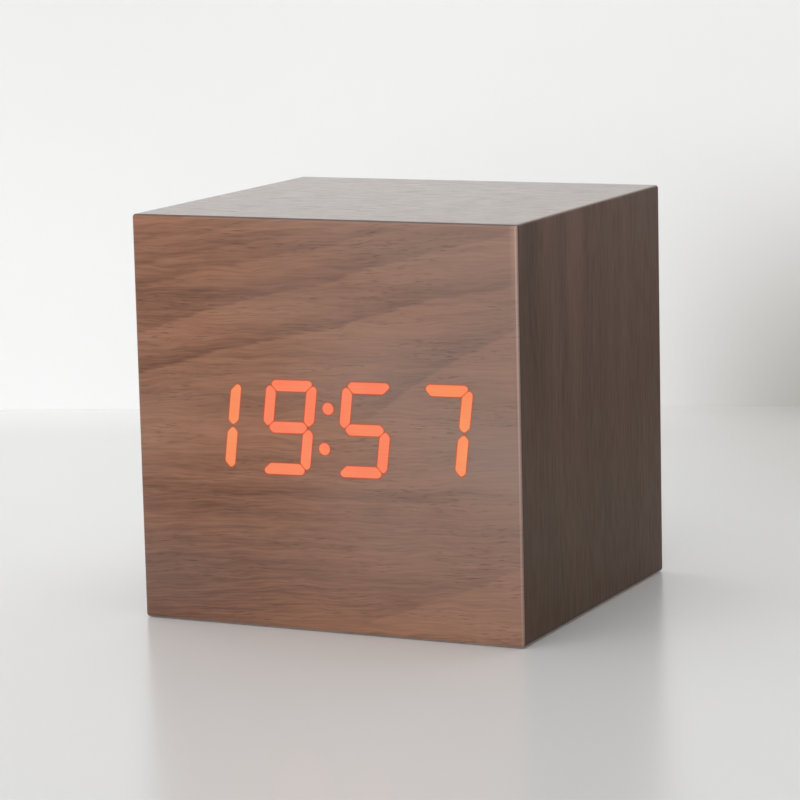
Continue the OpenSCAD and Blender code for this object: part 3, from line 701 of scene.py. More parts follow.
@dataclass(frozen=True)
class LightFinish:
    """Light that has come through the veneer: even in the middle, redder and thinner at its rim."""

    name: str
    core: str
    rim: str
    warmth: float
    warmer: str = "f99a69"
    unlit: str = "1a0906"
    rim_name: str = "inward"
    fibres: float = 0.07
    spill: float = 0.18
    spill_in: float = 0.22
    core_in: Pair = (0.24, 0.46)
    solid_in: Pair = (0.20, 0.37)
    roughness: float = 0.5
    shine: float = 0.1

    def material(self) -> Material:
        """Makes glowing veneer from the distance in from the rim, with faint fibres across the light.

        Returns:
            The material.
        """
        made, graph, shader = start_material(self.name)
        axes = graph.split(graph.place())
        grain = graph.use(GRAIN, graph.join(axes[0], axes[2], 0.0))
        inward = graph.add("ShaderNodeAttribute", {}, attribute_name=self.rim_name).outputs["Fac"]
        warm = WARM_PATCHES.draw(graph, graph.place(), self.warmth)
        core = graph.blend(warm, self.core, self.warmer)
        glow = graph.blend(graph.ramp(inward, *self.core_in), self.rim, core)
        fibres = graph.times(graph.plus(grain["Fibre"], grain["Pore"]), self.fibres)
        spilt = graph.ramp(inward, 0.0, self.spill_in, 0.0, self.spill)
        graph.feed(shader, {"Emission Color": graph.blend(fibres, glow, self.rim), "Emission Strength": 1.0,
                            "Base Color": self.unlit, "Roughness": self.roughness,
                            "Specular IOR Level": self.shine,
                            "Alpha": graph.math("MAXIMUM", spilt, graph.ramp(inward, *self.solid_in))})
        return made


@dataclass(frozen=True)
class LampFinish:
    """Tinted potting over the display's light chips."""

    name: str
    colour: str
    glow: float
    grain: float = 0.3
    dimmest: float = 0.75
    roughness: float = 0.35

    def material(self) -> Material:
        """Makes potting that glows, a little unevenly.

        Returns:
            The material.
        """
        made, graph, shader = start_material(self.name)
        skin = graph.use(SKIN, graph.place(), Grain=self.grain)
        dim = tuple(part * self.dimmest for part in tone(self.colour)[:3]) + (1.0,)
        colour = graph.blend(skin["Cloud"], self.colour, dim)
        graph.feed(shader, {"Base Color": colour, "Emission Color": colour, "Emission Strength": self.glow,
                            "Roughness": self.roughness})
        return made


def loft(rings: np.ndarray, closed_rows: bool = False) -> tuple[np.ndarray, list[list[int]]]:
    """Skins rings of points into closed shells and turns their faces outwards.

    Point (i, j) of a shell joins (i + 1, j) and (i, j + 1), and j runs round and meets itself. The first and
    last rings are closed by a fan to their middles, unless the rows run round as well.

    Args:
        rings: Points by shell, ring, place on the ring and axis.
        closed_rows: Whether the last ring joins the first.

    Returns:
        The points, and the faces as lists of point numbers.
    """
    shells, rows, columns, _ = rings.shape
    index = np.arange(shells * rows * columns).reshape(shells, rows, columns)
    far = np.roll(index, -1, axis=1)
    near, far = (index, far) if closed_rows else (index[:, :-1], far[:, :-1])
    ahead = [np.roll(side, -1, axis=2) for side in (near, far)]
    quads = np.stack([near, *ahead, far], axis=-1).reshape(-1, 4)
    points = rings.reshape(-1, 3)
    fans = np.empty((0, 3), int)
    if not closed_rows:
        middles = rings[:, [0, -1]].mean(axis=2)
        hub = len(points) + np.arange(2 * shells).reshape(shells, 2, 1) + np.zeros((1, 1, columns), int)
        rims = index[:, [0, -1]]
        after = np.roll(rims, -1, axis=2)
        start = np.stack([hub[:, 0], after[:, 0], rims[:, 0]], axis=-1)
        end = np.stack([hub[:, 1], rims[:, 1], after[:, 1]], axis=-1)
        fans = np.concatenate([start, end]).reshape(-1, 3)
        points = np.concatenate([points, middles.reshape(-1, 3)])
    corners = np.concatenate([quads[:, [0, 1, 2]], quads[:, [0, 2, 3]], fans])
    a, b, c = (points[corners[:, k]] for k in range(3))
    if np.einsum("ij,ij->", a, np.cross(b, c)) < 0:
        quads, fans = quads[:, ::-1], fans[:, ::-1]
    return points, quads.tolist() + fans.tolist()


def make_piece(name: str, rings: np.ndarray, material: Material,
               replaced: tuple[str, ...] = (), body: str = CASE, crease: float = 50.0,
               closed_rows: bool = False) -> bpy.types.Object:
    """Skins rings and puts them into the scene as one piece of the clock.

    Args:
        name: Name of the piece.
        rings: Points in millimetres, by shell, ring, place on the ring and axis.
        material: What the piece is dressed in.
        replaced: CAD nodes that the piece stands for.
        body: CAD body that carries the piece.
        crease: Angle in degrees over which an edge stays sharp.
        closed_rows: Whether the last ring joins the first.

    Returns:
        The new object.
    """
    points, faces = loft(rings, closed_rows)
    mesh = bpy.data.meshes.new(name)
    mesh.from_pydata((points * MM).tolist(), [], faces)
    mesh.polygons.foreach_set("use_smooth", np.ones(len(faces), bool))
    mesh.set_sharp_from_angle(angle=math.radians(crease))
    mesh.materials.append(material)
    piece = bpy.data.objects.new(name, mesh)
    bpy.context.scene.collection.objects.link(piece)
    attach(piece, body)
    if replaced:
        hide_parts(*replaced)
    LOG.info("piece %s on %s, %d faces", name, body, len(faces))
    return piece


def span(node: str) -> tuple[np.ndarray, np.ndarray]:
    """Returns the lowest and highest corners of a CAD node in millimetres."""
    low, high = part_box(node)
    return np.array(low) / MM, np.array(high) / MM


def middle_of(node: str) -> np.ndarray:
    """Returns the middle of a CAD node in millimetres."""
    low, high = span(node)
    return (low + high) / 2


def upright(flat: np.ndarray, y: np.ndarray) -> np.ndarray:
    """Stands flat points, given in x and z, up at their places along y."""
    return np.stack(np.broadcast_arrays(flat[..., 0], y, flat[..., 1]), axis=-1)


def circle(radius: float, steps: int) -> np.ndarray:
    """Returns points evenly round a circle about the origin, anticlockwise."""
    turn = np.linspace(0, 2 * math.pi, steps, endpoint=False)
    return radius * np.stack([np.cos(turn), np.sin(turn)], axis=-1)


def frame_rings(half: np.ndarray, insets: np.ndarray, ease: np.ndarray, per_side: int,
                per_corner: int = 7) -> np.ndarray:
    """Lays rings round a rectangle, each set in from its edge, with corners that stay eased.

    A corner is an arc of the eased radius less the inset, and the sides join the arcs by straight lines.

    Args:
        half: Half of the rectangle's width and height.
        insets: How far each ring is set in, as a share of the eased radius up to 1 and in
            millimetres over it.
        ease: The eased radius at each corner.
        per_side: Points along a side, between two corners.
        per_corner: Points round a corner.

    Returns:
        Points by ring, place and axis of the rectangle.
    """
    least = 0.02
    inset = np.where(insets[:, None] <= 1, insets[:, None] * ease, ease + insets[:, None] - 1)
    reach = np.maximum(ease, inset + least)
    signs = np.array([[1, 1], [-1, 1], [-1, -1], [1, -1]])
    centre = signs * (half - reach[..., None])
    turn = np.radians(90 * np.arange(4)[:, None] + np.linspace(0, 90, per_corner))
    arcs = np.stack([np.cos(turn), np.sin(turn)], axis=-1)
    corners = centre[:, :, None] + (reach - inset)[..., None, None] * arcs
    share = (np.arange(1, per_side + 1) / (per_side + 1))[:, None]
    starts, ends = corners[:, :, -1:], np.roll(corners, -1, axis=1)[:, :, :1]
    sides = starts + (ends - starts) * share
    return np.concatenate([corners, sides], axis=2).reshape(len(insets), -1, 2)


@dataclass
class WalnutCase:
    """The five veneer sheets and the rear edging, with edges eased by hand."""

    ease: float = 0.55
    uneven: float = 0.06
    arc_steps: int = 8
    face_steps: int = 24
    edging_steps: int = 8
    wall_steps: int = 40
    board_t: float = 3.0

    FLAT_INSETS = (31.0, 20.0, 10.0, 5.0, 2.0)
    CORNER_SWAY = (0.4, -0.8, 0.9, -0.2)

    def face_sheet(self, node: str, material: Material) -> None:
        """Makes the front veneer as rings from the middle of its face, round its edge and to its back.

        The edge is a quarter round: inset 1 - sin and depth 1 - cos of the turn, times the eased radius.

        Args:
            node: The CAD node that the sheet stands for.
            material: What the sheet is dressed in.
        """
        low, high = span(node)
        thick = high[1] - low[1]
        turn = np.linspace(0, math.pi / 2, self.arc_steps)
        flat = np.array(self.FLAT_INSETS)
        insets = np.concatenate([flat, 1 - np.sin(turn), [0.0], flat[::-1]])
        edge = self.ease * (1 - np.cos(turn))
        depths = np.concatenate([np.zeros(len(flat)), edge, [thick], np.full(len(flat), thick)])
        ease = self.ease * (1 + self.uneven * np.array(self.CORNER_SWAY))
        flat_rings = frame_rings((high - low)[[0, 2]] / 2, insets, ease, self.face_steps)
        rings = upright(flat_rings + middle_of(node)[[0, 2]], low[1] + depths[:, None])
        make_piece(f"{node}_sheet", rings[None], material, (node,))

    def wall_sheet(self, node: str, quarter: int, material: Material) -> None:
        """Makes the veneer of one wall: a mitred strip with half of each eased corner, carried rearwards.

        Args:
            node: The CAD node that the strip stands for.
            quarter: Quarter turns from the top, clockwise as the front is seen.
            material: What the strip is dressed in.
        """
        low, high = span(node)
        box_low, box_high = span("front_veneer")
        half = (box_high - box_low)[[0, 2]] / 2
        across, out = half if quarter % 2 == 0 else half[::-1]
        thick = min(high[0] - low[0], high[2] - low[2])
        arc = np.radians(np.linspace(45, 90, self.arc_steps))
        rounded = self.ease * np.stack([np.cos(arc), np.sin(arc)], axis=-1)
        right = np.array([across, out]) - self.ease + rounded
        inner = np.array([[thick - across, out - thick], [across - thick, out - thick]])
        outline = np.concatenate([right, right[::-1] * [-1, 1], inner])
        turn = -math.pi / 2 * quarter
        turned = outline @ np.array([[math.cos(turn), math.sin(turn)], [-math.sin(turn), math.cos(turn)]])
        along = np.linspace(low[1], high[1], self.wall_steps)
        rings = upright(turned + middle_of("front_veneer")[[0, 2]], along[:, None])
        make_piece(f"{node}_sheet", rings[None], material, (node,), crease=40.0)

    def edging(self, node: str, material: Material) -> None:
        """Makes the rear edging: a closed profile with an eased outer edge, carried round the back.

        Args:
            node: The CAD node that the edging stands for.
            material: What the edging is dressed in.
        """
        low, high = span(node)
        thick = high[1] - low[1]
        inner = thick + self.board_t - self.ease + 1
        turn = np.linspace(0, math.pi / 2, self.arc_steps)
        insets = np.concatenate([1 - np.sin(turn), [0.0, inner, inner]])
        depths = np.concatenate([self.ease * (1 - np.cos(turn)), [thick, thick, 0.0]])
        eased = np.full(4, self.ease)
        flat_rings = frame_rings((high - low)[[0, 2]] / 2, insets, eased, self.edging_steps)
        rings = upright(flat_rings + middle_of(node)[[0, 2]], high[1] - depths[:, None])
        make_piece(f"{node}_frame", rings[None], material, (node,), closed_rows=True)

    def front_finish(self) -> WalnutFinish:
        """Sets out the front veneer's figure.

        Returns:
            The finish.
        """
        growth = (
            GrowthEdge(0.25, 49.4, 4.5, 0.44), GrowthEdge(0.27, 56.8, 6.5, 0.36),
            GrowthEdge(0.60, 31.0, 10.0, 0.40, 2.0), GrowthEdge(0.41, -1.2, 12.0, 0.26, 2.0),
            GrowthEdge(0.22, 62.5, 4.0, 0.28), GrowthEdge(0.02, 22.4, 3.0, 0.22),
            GrowthEdge(0.20, 65.3, 3.0, 0.24), GrowthEdge(0.15, 67.4, 2.6, 0.22),
        )
        drift = (
            TonePatch(-22.0, 10.0, 44.0, 24.0, 0.42), TonePatch(20.0, 20.0, 30.0, 10.0, 0.16),
            TonePatch(-36.0, 0.0, 34.0, 18.0, 0.26), TonePatch(31.0, 33.0, 18.0, 12.0, 0.26),
            TonePatch(-32.0, 54.0, 18.0, 7.0, 0.22),
        )
        # Patches that grey the wood; the large one over the right half is painted sheen.
        tint_and_sheen = (
            TonePatch(44.0, 38.0, 60.0, 64.0, 0.46), TonePatch(8.0, 68.0, 40.0, 18.0, 0.22),
            TonePatch(0.0, 12.0, 30.0, 14.0, 0.14),
        )
        # Painted light on the eased edges: the broad and the thin pale line down the right edge are a
        # painted highlight, strongest at the top; the dark line along the top edge is partly the veneer's
        # edge, partly painted shade.
        rims = (
            EdgeLine(0, 34.20, 1.70, "bd9c8e", 0.36, (44.0, 74.0)),
            EdgeLine(0, 33.80, 0.20, "d8bbad", 0.42, (-40.0, 58.0)),
            EdgeLine(2, 66.95, 0.24, "2e1b15", 0.80),
        )
        return WalnutFinish("walnut_front", GrainRun.ACROSS_FRONT, edges=growth, patches=drift, tint_and_sheen=tint_and_sheen,
                            rise=0.05, waver=1.2, lines=rims)

    def build(self) -> None:
        """Builds and dresses the whole case."""
        self.face_sheet("front_veneer", self.front_finish().material())
        # The top's browns are darker than the front's: partly the wood's tone, partly painted shade against
        # the ceiling lamp's light.
        level = WalnutFinish("walnut_level_painted_shade", GrainRun.ACROSS_TOP, "77593f", "45312a", "62544b", 4.0,
                             roughness=0.24, gloss=0.35, bands=0.40, streaks=0.28, fibres=0.20, pores=0.26,
                             waver=1.2, sunk=0.003)
        self.wall_sheet("top_veneer", 0, level.material())
        base = WalnutFinish("walnut_base", GrainRun.ACROSS_TOP, layer=6.0, roughness=0.5, shine=0.2)
        self.wall_sheet("bottom_veneer", 2, base.material())
        # The sides' browns are darker than the front's: partly the wood's tone, partly painted shade for
        # faces the lamps leave dim. The shaded patches are painted shade, darker near the front edge and at
        # the foot.
        shaded = (TonePatch(33.0, -36.0, 90.0, 34.0, 0.40), TonePatch(0.0, 0.0, 34.0, 60.0, 0.30))
        warms = (TonePatch(0.0, 0.0, 62.0, 90.0, 0.62),)
        sides = WalnutFinish("walnut_upright_painted_shade", GrainRun.UPRIGHT, "6d5143", "402d23", "4a3320", 9.0,
                             patches=shaded, tint_and_sheen=warms, shine=0.1, bands=0.46, streaks=0.12, fibres=0.06,
                             pores=0.12, spread=1.7, sunk=0.0015, lines=(GLUE_LINE, PAINTED_FOOT_SHADOW)).material()
        self.wall_sheet("right_veneer", 1, sides)
        self.wall_sheet("left_veneer", 3, sides)
        low, high = span("rear_edging")
        mitre = ((low[2] + high[2]) / 2, (high[0] - low[0] - high[2] + low[2]) / 2)
        edging = WalnutFinish("walnut_edging", GrainRun.ACROSS_FRONT, layer=14.0, lines=(), mitre=mitre)
        self.edging("rear_edging", edging.material())


def corner_offsets(corners: np.ndarray, softness: float, grow: np.ndarray, steps: int) -> np.ndarray:
    """Draws rings round convex outlines with rounded corners.

    The radius r of a corner is softness * (1 - turn / pi), so slight turns are rounder. A corner is first
    drawn in, point = corner - r * (n + m) / (1 + n . m) for the normals n and m of its two edges, and each
    ring then adds an arc of r + grow about every such point.

    Args:
        corners: Corners by outline, place and axis, anticlockwise.
        softness: Radius that a corner tends to as its turn becomes slight.
        grow: How far outside the outline each ring lies.
        steps: Points on the arc of a corner.

    Returns:
        Points by outline, ring, place and axis.
    """
    edge = np.roll(corners, -1, axis=1) - corners
    normal = np.stack([edge[..., 1], -edge[..., 0]], axis=-1) / np.linalg.norm(edge, axis=-1, keepdims=True)
    before = np.roll(normal, 1, axis=1)
    start = np.arctan2(before[..., 1], before[..., 0])
    swing = (np.arctan2(normal[..., 1], normal[..., 0]) - start) % (2 * math.pi)
    radius = softness * (1 - swing / math.pi)
    pull = (normal + before) / (1 + np.sum(normal * before, axis=-1, keepdims=True))
    drawn = corners - radius[..., None] * pull
    turn = start[..., None] + swing[..., None] * np.linspace(0, 1, steps)
    arc = np.stack([np.cos(turn), np.sin(turn)], axis=-1)
    reach = radius[:, None] + grow[None, :, None]
    rings = drawn[:, None, :, None] + reach[..., None, None] * arc[:, None]
    return rings.reshape(len(corners), len(grow), -1, 2)


@dataclass
class LitDisplay:
    """The digits and the colon that shine through the veneer."""

    shown: str = "19:57"
    digit_h: float = 15.4
    digit_w: float = 9.1
    pitch: float = 13.65
    slant: float = 8.0
    bar: float = 1.82
    gap: float = 0.08
    bevel: float = 1.3
    askew: float = 1.05
    aside: float = 0.35
    raised: float = 0.15
    dot_d: float = 2.0
    dot_spread: float = 6.55
    softness: float = 1.0
    proud: float = 0.02
    stagger: float = 0.003
    rooted: float = 0.10
    bar_steps: int = 4
    dot_sides: int = 24
    dot_steps: int = 2

    LIT = {"0": "abcdef", "1": "bc", "2": "abdeg", "3": "abcdg", "4": "bcfg", "5": "acdfg", "6": "acdefg",
           "7": "abc", "8": "abcdefg", "9": "abcdfg"}
    AMBER_SIGNS = "17"
    GROW = (0.34, 0.34, 0.12, 0.03, -0.08, -0.18, -0.27)

    def bars(self) -> np.ndarray:
        """Works out the corners of the seven bars of a digit, a to g, before the slant.

        A bar lies between two points of the digit's centre lines. An outer end is a mitre with a bevel, and
        an end between two bars is a point; both are drawn in by half of the gap.

        Returns:
            Corners by bar, place and axis.
        """
        w, h, t, b = (self.digit_w - self.bar) / 2, (self.digit_h - self.bar) / 2, self.bar, self.bevel
        start = np.array([[-w, h], [w, h], [w, -h], [-w, -h], [-w, -h], [-w, h], [-w, 0]])
        along = np.array([[1, 0], [0, -1], [0, 1], [1, 0], [0, 1], [0, -1], [1, 0]])
        outward = np.array([[0, 1], [1, 0], [1, 0], [0, -1], [-1, 0], [-1, 0], [0, 1]])
        length = np.array([2 * w, h, h, 2 * w, h, h, 2 * w])
        mitre = np.array([[t / 2, -t / 2], [(b - t) / 2, (t - b) / 2], [b - t / 2, t / 2]])
        point = np.array([[t / 2, -t / 2], [0, 0], [t / 2, t / 2]])
        near = np.where(np.array([1, 1, 1, 1, 1, 1, 0])[:, None, None] == 1, mitre, point)
        far = np.where(np.array([1, 0, 0, 1, 0, 0, 0])[:, None, None] == 1, mitre, point)
        pull = self.gap / math.sqrt(2)
        ends = np.concatenate([near + [pull, 0], far[:, ::-1] * [-1, 1] + [-pull, 0]], axis=1)
        ends[:, 3:, 0] += length[:, None]
        return start[:, None] + ends[..., :1] * along[:, None] + ends[..., 1:] * outward[:, None]

    def lean(self, flat: np.ndarray) -> np.ndarray:
        """Leans points of a digit by the slant."""
        aside = flat[..., 1] * math.tan(math.radians(self.slant))
        return flat + np.stack([aside, 0 * aside], axis=-1)

    def tilt(self, flat: np.ndarray, level: float) -> np.ndarray:
        """Turns points about the display's level and shifts them, as it sits a little askew and aside."""
        c, s = math.cos(math.radians(self.askew)), math.sin(math.radians(self.askew))
        return (flat - [0.0, level]) @ np.array([[c, s], [-s, c]]) + [self.aside, self.raised + level]

    def glow(self, name: str, outlines: np.ndarray, steps: int, across: float,
             material: Material) -> None:
        """Makes lit veneer from outlines: a skin just over the veneer, with the distance in from its rim.

        Args:
            name: Name of the piece.
            outlines: Corners by outline, place and axis, in any turning sense.
            steps: Points on the arc of a corner.
            across: Where the outlines' origin lies across the front.
            material: What the piece is dressed in.
        """
        level = middle_of("segment_lenses")[2]
        after = np.roll(outlines, -1, axis=1)
        area = np.sum(outlines[..., 0] * after[..., 1] - after[..., 0] * outlines[..., 1], axis=1)
        turned = np.where((area < 0)[:, None, None], outlines[:, ::-1], outlines)
        grow = np.array(self.GROW)
        flat = self.tilt(corner_offsets(turned, self.softness, grow, steps) + [across, level], level)
        front = span("front_veneer")[0][1]
        proud = front - self.proud - self.stagger * np.arange(len(turned))[:, None]
        depth = np.where(np.arange(len(grow)) == 0, front + self.rooted, proud)
        piece = make_piece(name, upright(flat, depth[..., None]), material)
        inward = np.broadcast_to((grow[0] - grow)[None, :, None], flat.shape[:3])
        hubs = inward[:, [0, -1]].mean(axis=2)
        values = np.concatenate([inward.reshape(-1), hubs.reshape(-1)]).astype(np.float32)
        piece.data.attributes.new(LightFinish.rim_name, "FLOAT", "POINT").data.foreach_set("value", values)

    def build(self) -> None:
        """Builds the lit digits and the colon of the time that is shown."""
        coral = LightFinish("light_coral", "fa8361", "dc5133", 0.35).material()
        amber = LightFinish("light_amber", "f98f5f", "df5b34", 0.80).material()
        bars = self.lean(self.bars())
        for place, sign in enumerate(self.shown.replace(":", "")):
            lit = [ord(letter) - ord("a") for letter in self.LIT[sign]]
            finish = amber if sign in self.AMBER_SIGNS else coral
            across = (place - 1.5) * self.pitch
            self.glow(f"lit_digit_{place + 1}", bars[lit], self.bar_steps, across, finish)
        spots = self.lean(np.array([[0, self.dot_spread / 2], [0, -self.dot_spread / 2]]))
        dots = spots[:, None] + circle(self.dot_d / 2, self.dot_sides)
        self.glow("lit_colon", dots, self.dot_steps, 0.0, coral)


def tube(path: np.ndarray, radius: float, sides: int, side_way: Triple) -> np.ndarray:
    """Carries a circle along a path.

    At each point the circle stands square to the path's direction t, on u = side x t and v = t x u.

    Args:
        path: Points of the path.
        radius: Radius of the circle.
        sides: Points on the circle.
        side_way: A direction that the path never runs along.

    Returns:
        Points by shell, ring, place and axis.
    """
    way = np.gradient(path, axis=0)
    way /= np.linalg.norm(way, axis=1, keepdims=True)
    u = np.cross(side_way, way)
    u /= np.linalg.norm(u, axis=1, keepdims=True)
    v = np.cross(way, u)
    ring = circle(radius, sides)[None, :, :, None]
    return (path[:, None] + ring[:, :, 0] * u[:, None] + ring[:, :, 1] * v[:, None])[None]


def smooth_route(points: np.ndarray, steps: int) -> np.ndarray:
    """Runs a smooth curve through given points, by the Catmull-Rom cubic between each pair.

    Args:
        points: Points of the route.
        steps: Steps between two points.

    Returns:
        Points of the curve.
    """
    held = np.concatenate([2 * points[:1] - points[1:2], points, 2 * points[-1:] - points[-2:-1]])
    t = np.linspace(0, 1, steps, endpoint=False)[:, None, None]
    a, b, c, d = held[:-3], held[1:-2], held[2:-1], held[3:]
    curve = 0.5 * (2 * b + (c - a) * t + (2 * a - 5 * b + 4 * c - d) * t**2 + (3 * b - a - 3 * c + d) * t**3)
    return np.concatenate([curve.transpose(1, 0, 2).reshape(-1, 3), points[-1:]])


def dress(node: str, material: Material) -> None:
    """Dresses a CAD node that keeps its own shape."""
    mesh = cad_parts[node].data
    mesh.materials.clear()
    mesh.materials.append(material)
    LOG.info("dressed %s in %s", node, material.name)


@dataclass
class BatteryBay:
    """The cells with their springs and leads."""

    wire: float = 0.4
    turns: float = 3.0
    turn_steps: int = 28
    base_r: float = 3.3
    tip_r: float = 2.1
    seat: float = 0.05
    lead_d: float = 1.2
    stud_l: float = 2.0
    wire_sides: int = 10
    lead_sides: int = 14
    lead_steps: int = 10

    POSITIVE = ((-24, -1.8, 22), (-23, -2.6, 20), (-18, -2.7, 14), (-12, -2.7, 6),
                (-7, -2.5, -2), (-4.4, -1.7, -6.6), (-4, 0.3, -8), (-4, 3.8, -8.2))
    NEGATIVE = ((24, -1.8, 0), (23, -2.5, -1.6), (18, -2.5, -4.4), (11, -2.3, -6),
                (6, -1.7, -6.8), (4, 0.3, -8), (4, 3.8, -8.2))
    STUD_SIDES = {"battery_cell_lower": -1, "battery_cell_middle": 1, "battery_cell_upper": -1}

    def springs(self, material: Material) -> None:
        """Makes the conical contact springs, one tube each, wound from the plate to the cell's flat end.

        The radius falls evenly from base to tip while the angle runs through the turns.

        Args:
            material: What the springs are dressed in.
        """
        near = span("contact_springs")[0][0] + self.wire / 2
        u = np.linspace(0, 1, int(self.turns * self.turn_steps))
        radius = self.base_r + u * (self.tip_r - self.base_r)
        angle = 2 * math.pi * self.turns * u
        shells = []
        for node, side in self.STUD_SIDES.items():
            low, high = span(node)
            flat_end = low[0] if side > 0 else -high[0]
            reach = near + u * (flat_end - self.seat - self.wire / 2 - near)
            _, y, z = middle_of(node)
            path = np.stack([side * reach, y + radius * np.cos(angle), z + radius * np.sin(angle)], axis=-1)
            shells.append(tube(path, self.wire / 2, self.wire_sides, (1.0, 0.0, 0.0)))
        make_piece("wound_contact_springs", np.concatenate(shells), material,
                   ("contact_springs",))

    def lead(self, node: str, route: tuple, finish: MouldedFinish) -> None:
        """Makes one battery lead along its route from a contact plate to the control board.

        Args:
            node: The CAD node that the lead stands for.
            route: Points across from the middle, from the back of the bay and over the lowest cell's axis.
            finish: What the lead is dressed in.
        """
        origin = np.array([0.0, span("rear_cover")[0][1], middle_of("battery_cell_lower")[2]])
        path = smooth_route(np.array(route, float) + origin, self.lead_steps)
        rings = tube(path, self.lead_d / 2, self.lead_sides, (0.0, 0.0, 1.0))
        make_piece(f"{node}_wire", rings, finish.material(), (node,))

    def build(self) -> None:
        """Builds the springs and leads and dresses the cells."""
        self.springs(DrawnMetalFinish("spring_plate", "dcd8cf", "a8a49a", (0.4, 0.4, 0.4), 0.24).material())
        red = MouldedFinish("lead_red", "a8241c", "8e1c16", 0.5, 0.004, 0.42)
        black = MouldedFinish("lead_black", "1b1b1c", "242425", 0.5, 0.004, 0.42)
        self.lead("positive_lead", self.POSITIVE, red)
        self.lead("negative_lead", self.NEGATIVE, black)
        for node, side in self.STUD_SIDES.items():
            low, high = span(node)
            dress(node, CellFinish(f"jacket_{node}", side, (high[0] - low[0] - self.stud_l) / 2).material())


@dataclass
class RibbonCable:
    """The flat cable between the display board and the control board."""

    wires: int = 10
    thick: float = 0.9
    waist: float = 0.45
    path_steps: int = 60
    edge_steps: int = 12

    def build(self) -> None:
        """Makes the ribbon: a row of round wires side by side, carried along an eased path with level ends.

        The half thickness is that of a circle in each wire's width, never under the waist's share of it.
        """
        low, high = span("ribbon_cable")
        width = high[0] - low[0]
        across = np.linspace(-width / 2, width / 2, self.wires * self.edge_steps + 1)
        phase = (across + width / 2) / (width / self.wires) % 1.0 * 2 - 1
        half = self.thick / 2 * np.maximum(np.sqrt(np.clip(1 - phase**2, 0, 1)), self.waist)
        half[[0, -1]] = self.thick / 2 * self.waist
        u = np.linspace(0, 1, self.path_steps)
        along = low[1] + u * (high[1] - low[1])
        rise = (high[2] - self.thick / 2) + u * u * (3 - 2 * u) * (low[2] + self.thick - high[2])
        section = np.concatenate([np.stack([across, half], -1), np.stack([across[::-1], -half[::-1]], -1)])
        shift = np.stack([np.full(len(u), (low[0] + high[0]) / 2), rise], axis=-1)
        rings = upright(section[None] + shift[:, None], along[:, None])
        finish = MouldedFinish("ribbon_jacket", "8f8f92", "7a7a7d", 0.6, 0.004, 0.45)
        make_piece("ribbon_wires", rings[None], finish.material(), ("ribbon_cable",), crease=70.0)


@dataclass
class RearMarks:
    """Raised signs beside the buttons and on the battery door: triangles, a dot and a slide arrow."""

    height: float = 0.18
    chamfer: float = 0.10
    rooted: float = 0.10
    softness: float = 0.3
    size: float = 0.85
    dot_r: float = 0.75
    lift: float = 4.3
    arrow: float = 1.5
    arrow_lift: float = 12.5
    corner_steps: int = 5
    dot_sides: int = 20

    TRIANGLE = ((1.0, -0.8), (0.0, 1.0), (-1.0, -0.8))

    def sign(self, name: str, corners: np.ndarray, at: Triple, body: str,
             material: Material) -> None:
        """Raises one outline from a face that looks along +Y, with chamfered edges.

        Args:
            name: Name of the piece.
            corners: Corners of the outline in x and z, anticlockwise.
            at: Where the outline's origin lies on the face.
            body: CAD body that carries the sign.
            material: What the sign is dressed in.
        """
        grow = np.array([0.0, 0.0, -self.chamfer])
        flat = corner_offsets(corners[None], self.softness, grow, self.corner_steps)
        deep = at[1] + np.array([-self.rooted, self.height - self.chamfer, self.height])
        rings = upright(flat + [at[0], at[2]], deep[:, None])
        make_piece(name, rings, material, body=body)

    def build(self) -> None:
        """Builds the signs over the three buttons and the arrow on the door."""
        finish = MouldedFinish("sign_plastic", "8c8c8e", "77777a", 0.3, 0.006, 0.45).material()
        triangle = np.array(self.TRIANGLE)
        shapes = {"up": self.size * triangle, "down": -self.size * triangle,
                  "set": circle(self.dot_r, self.dot_sides)}
        face = span("rear_cover")[1][1]
        for label, corners in shapes.items():
            x, _, z = middle_of(f"{label}_button")
            self.sign(f"{label}_sign", corners, (x, face, z + self.lift), CASE, finish)
        low, high = span("battery_door")
        at = (0.0, high[1], low[2] + self.arrow_lift)
        self.sign("door_arrow", -self.arrow * triangle, at, "battery_door", finish)


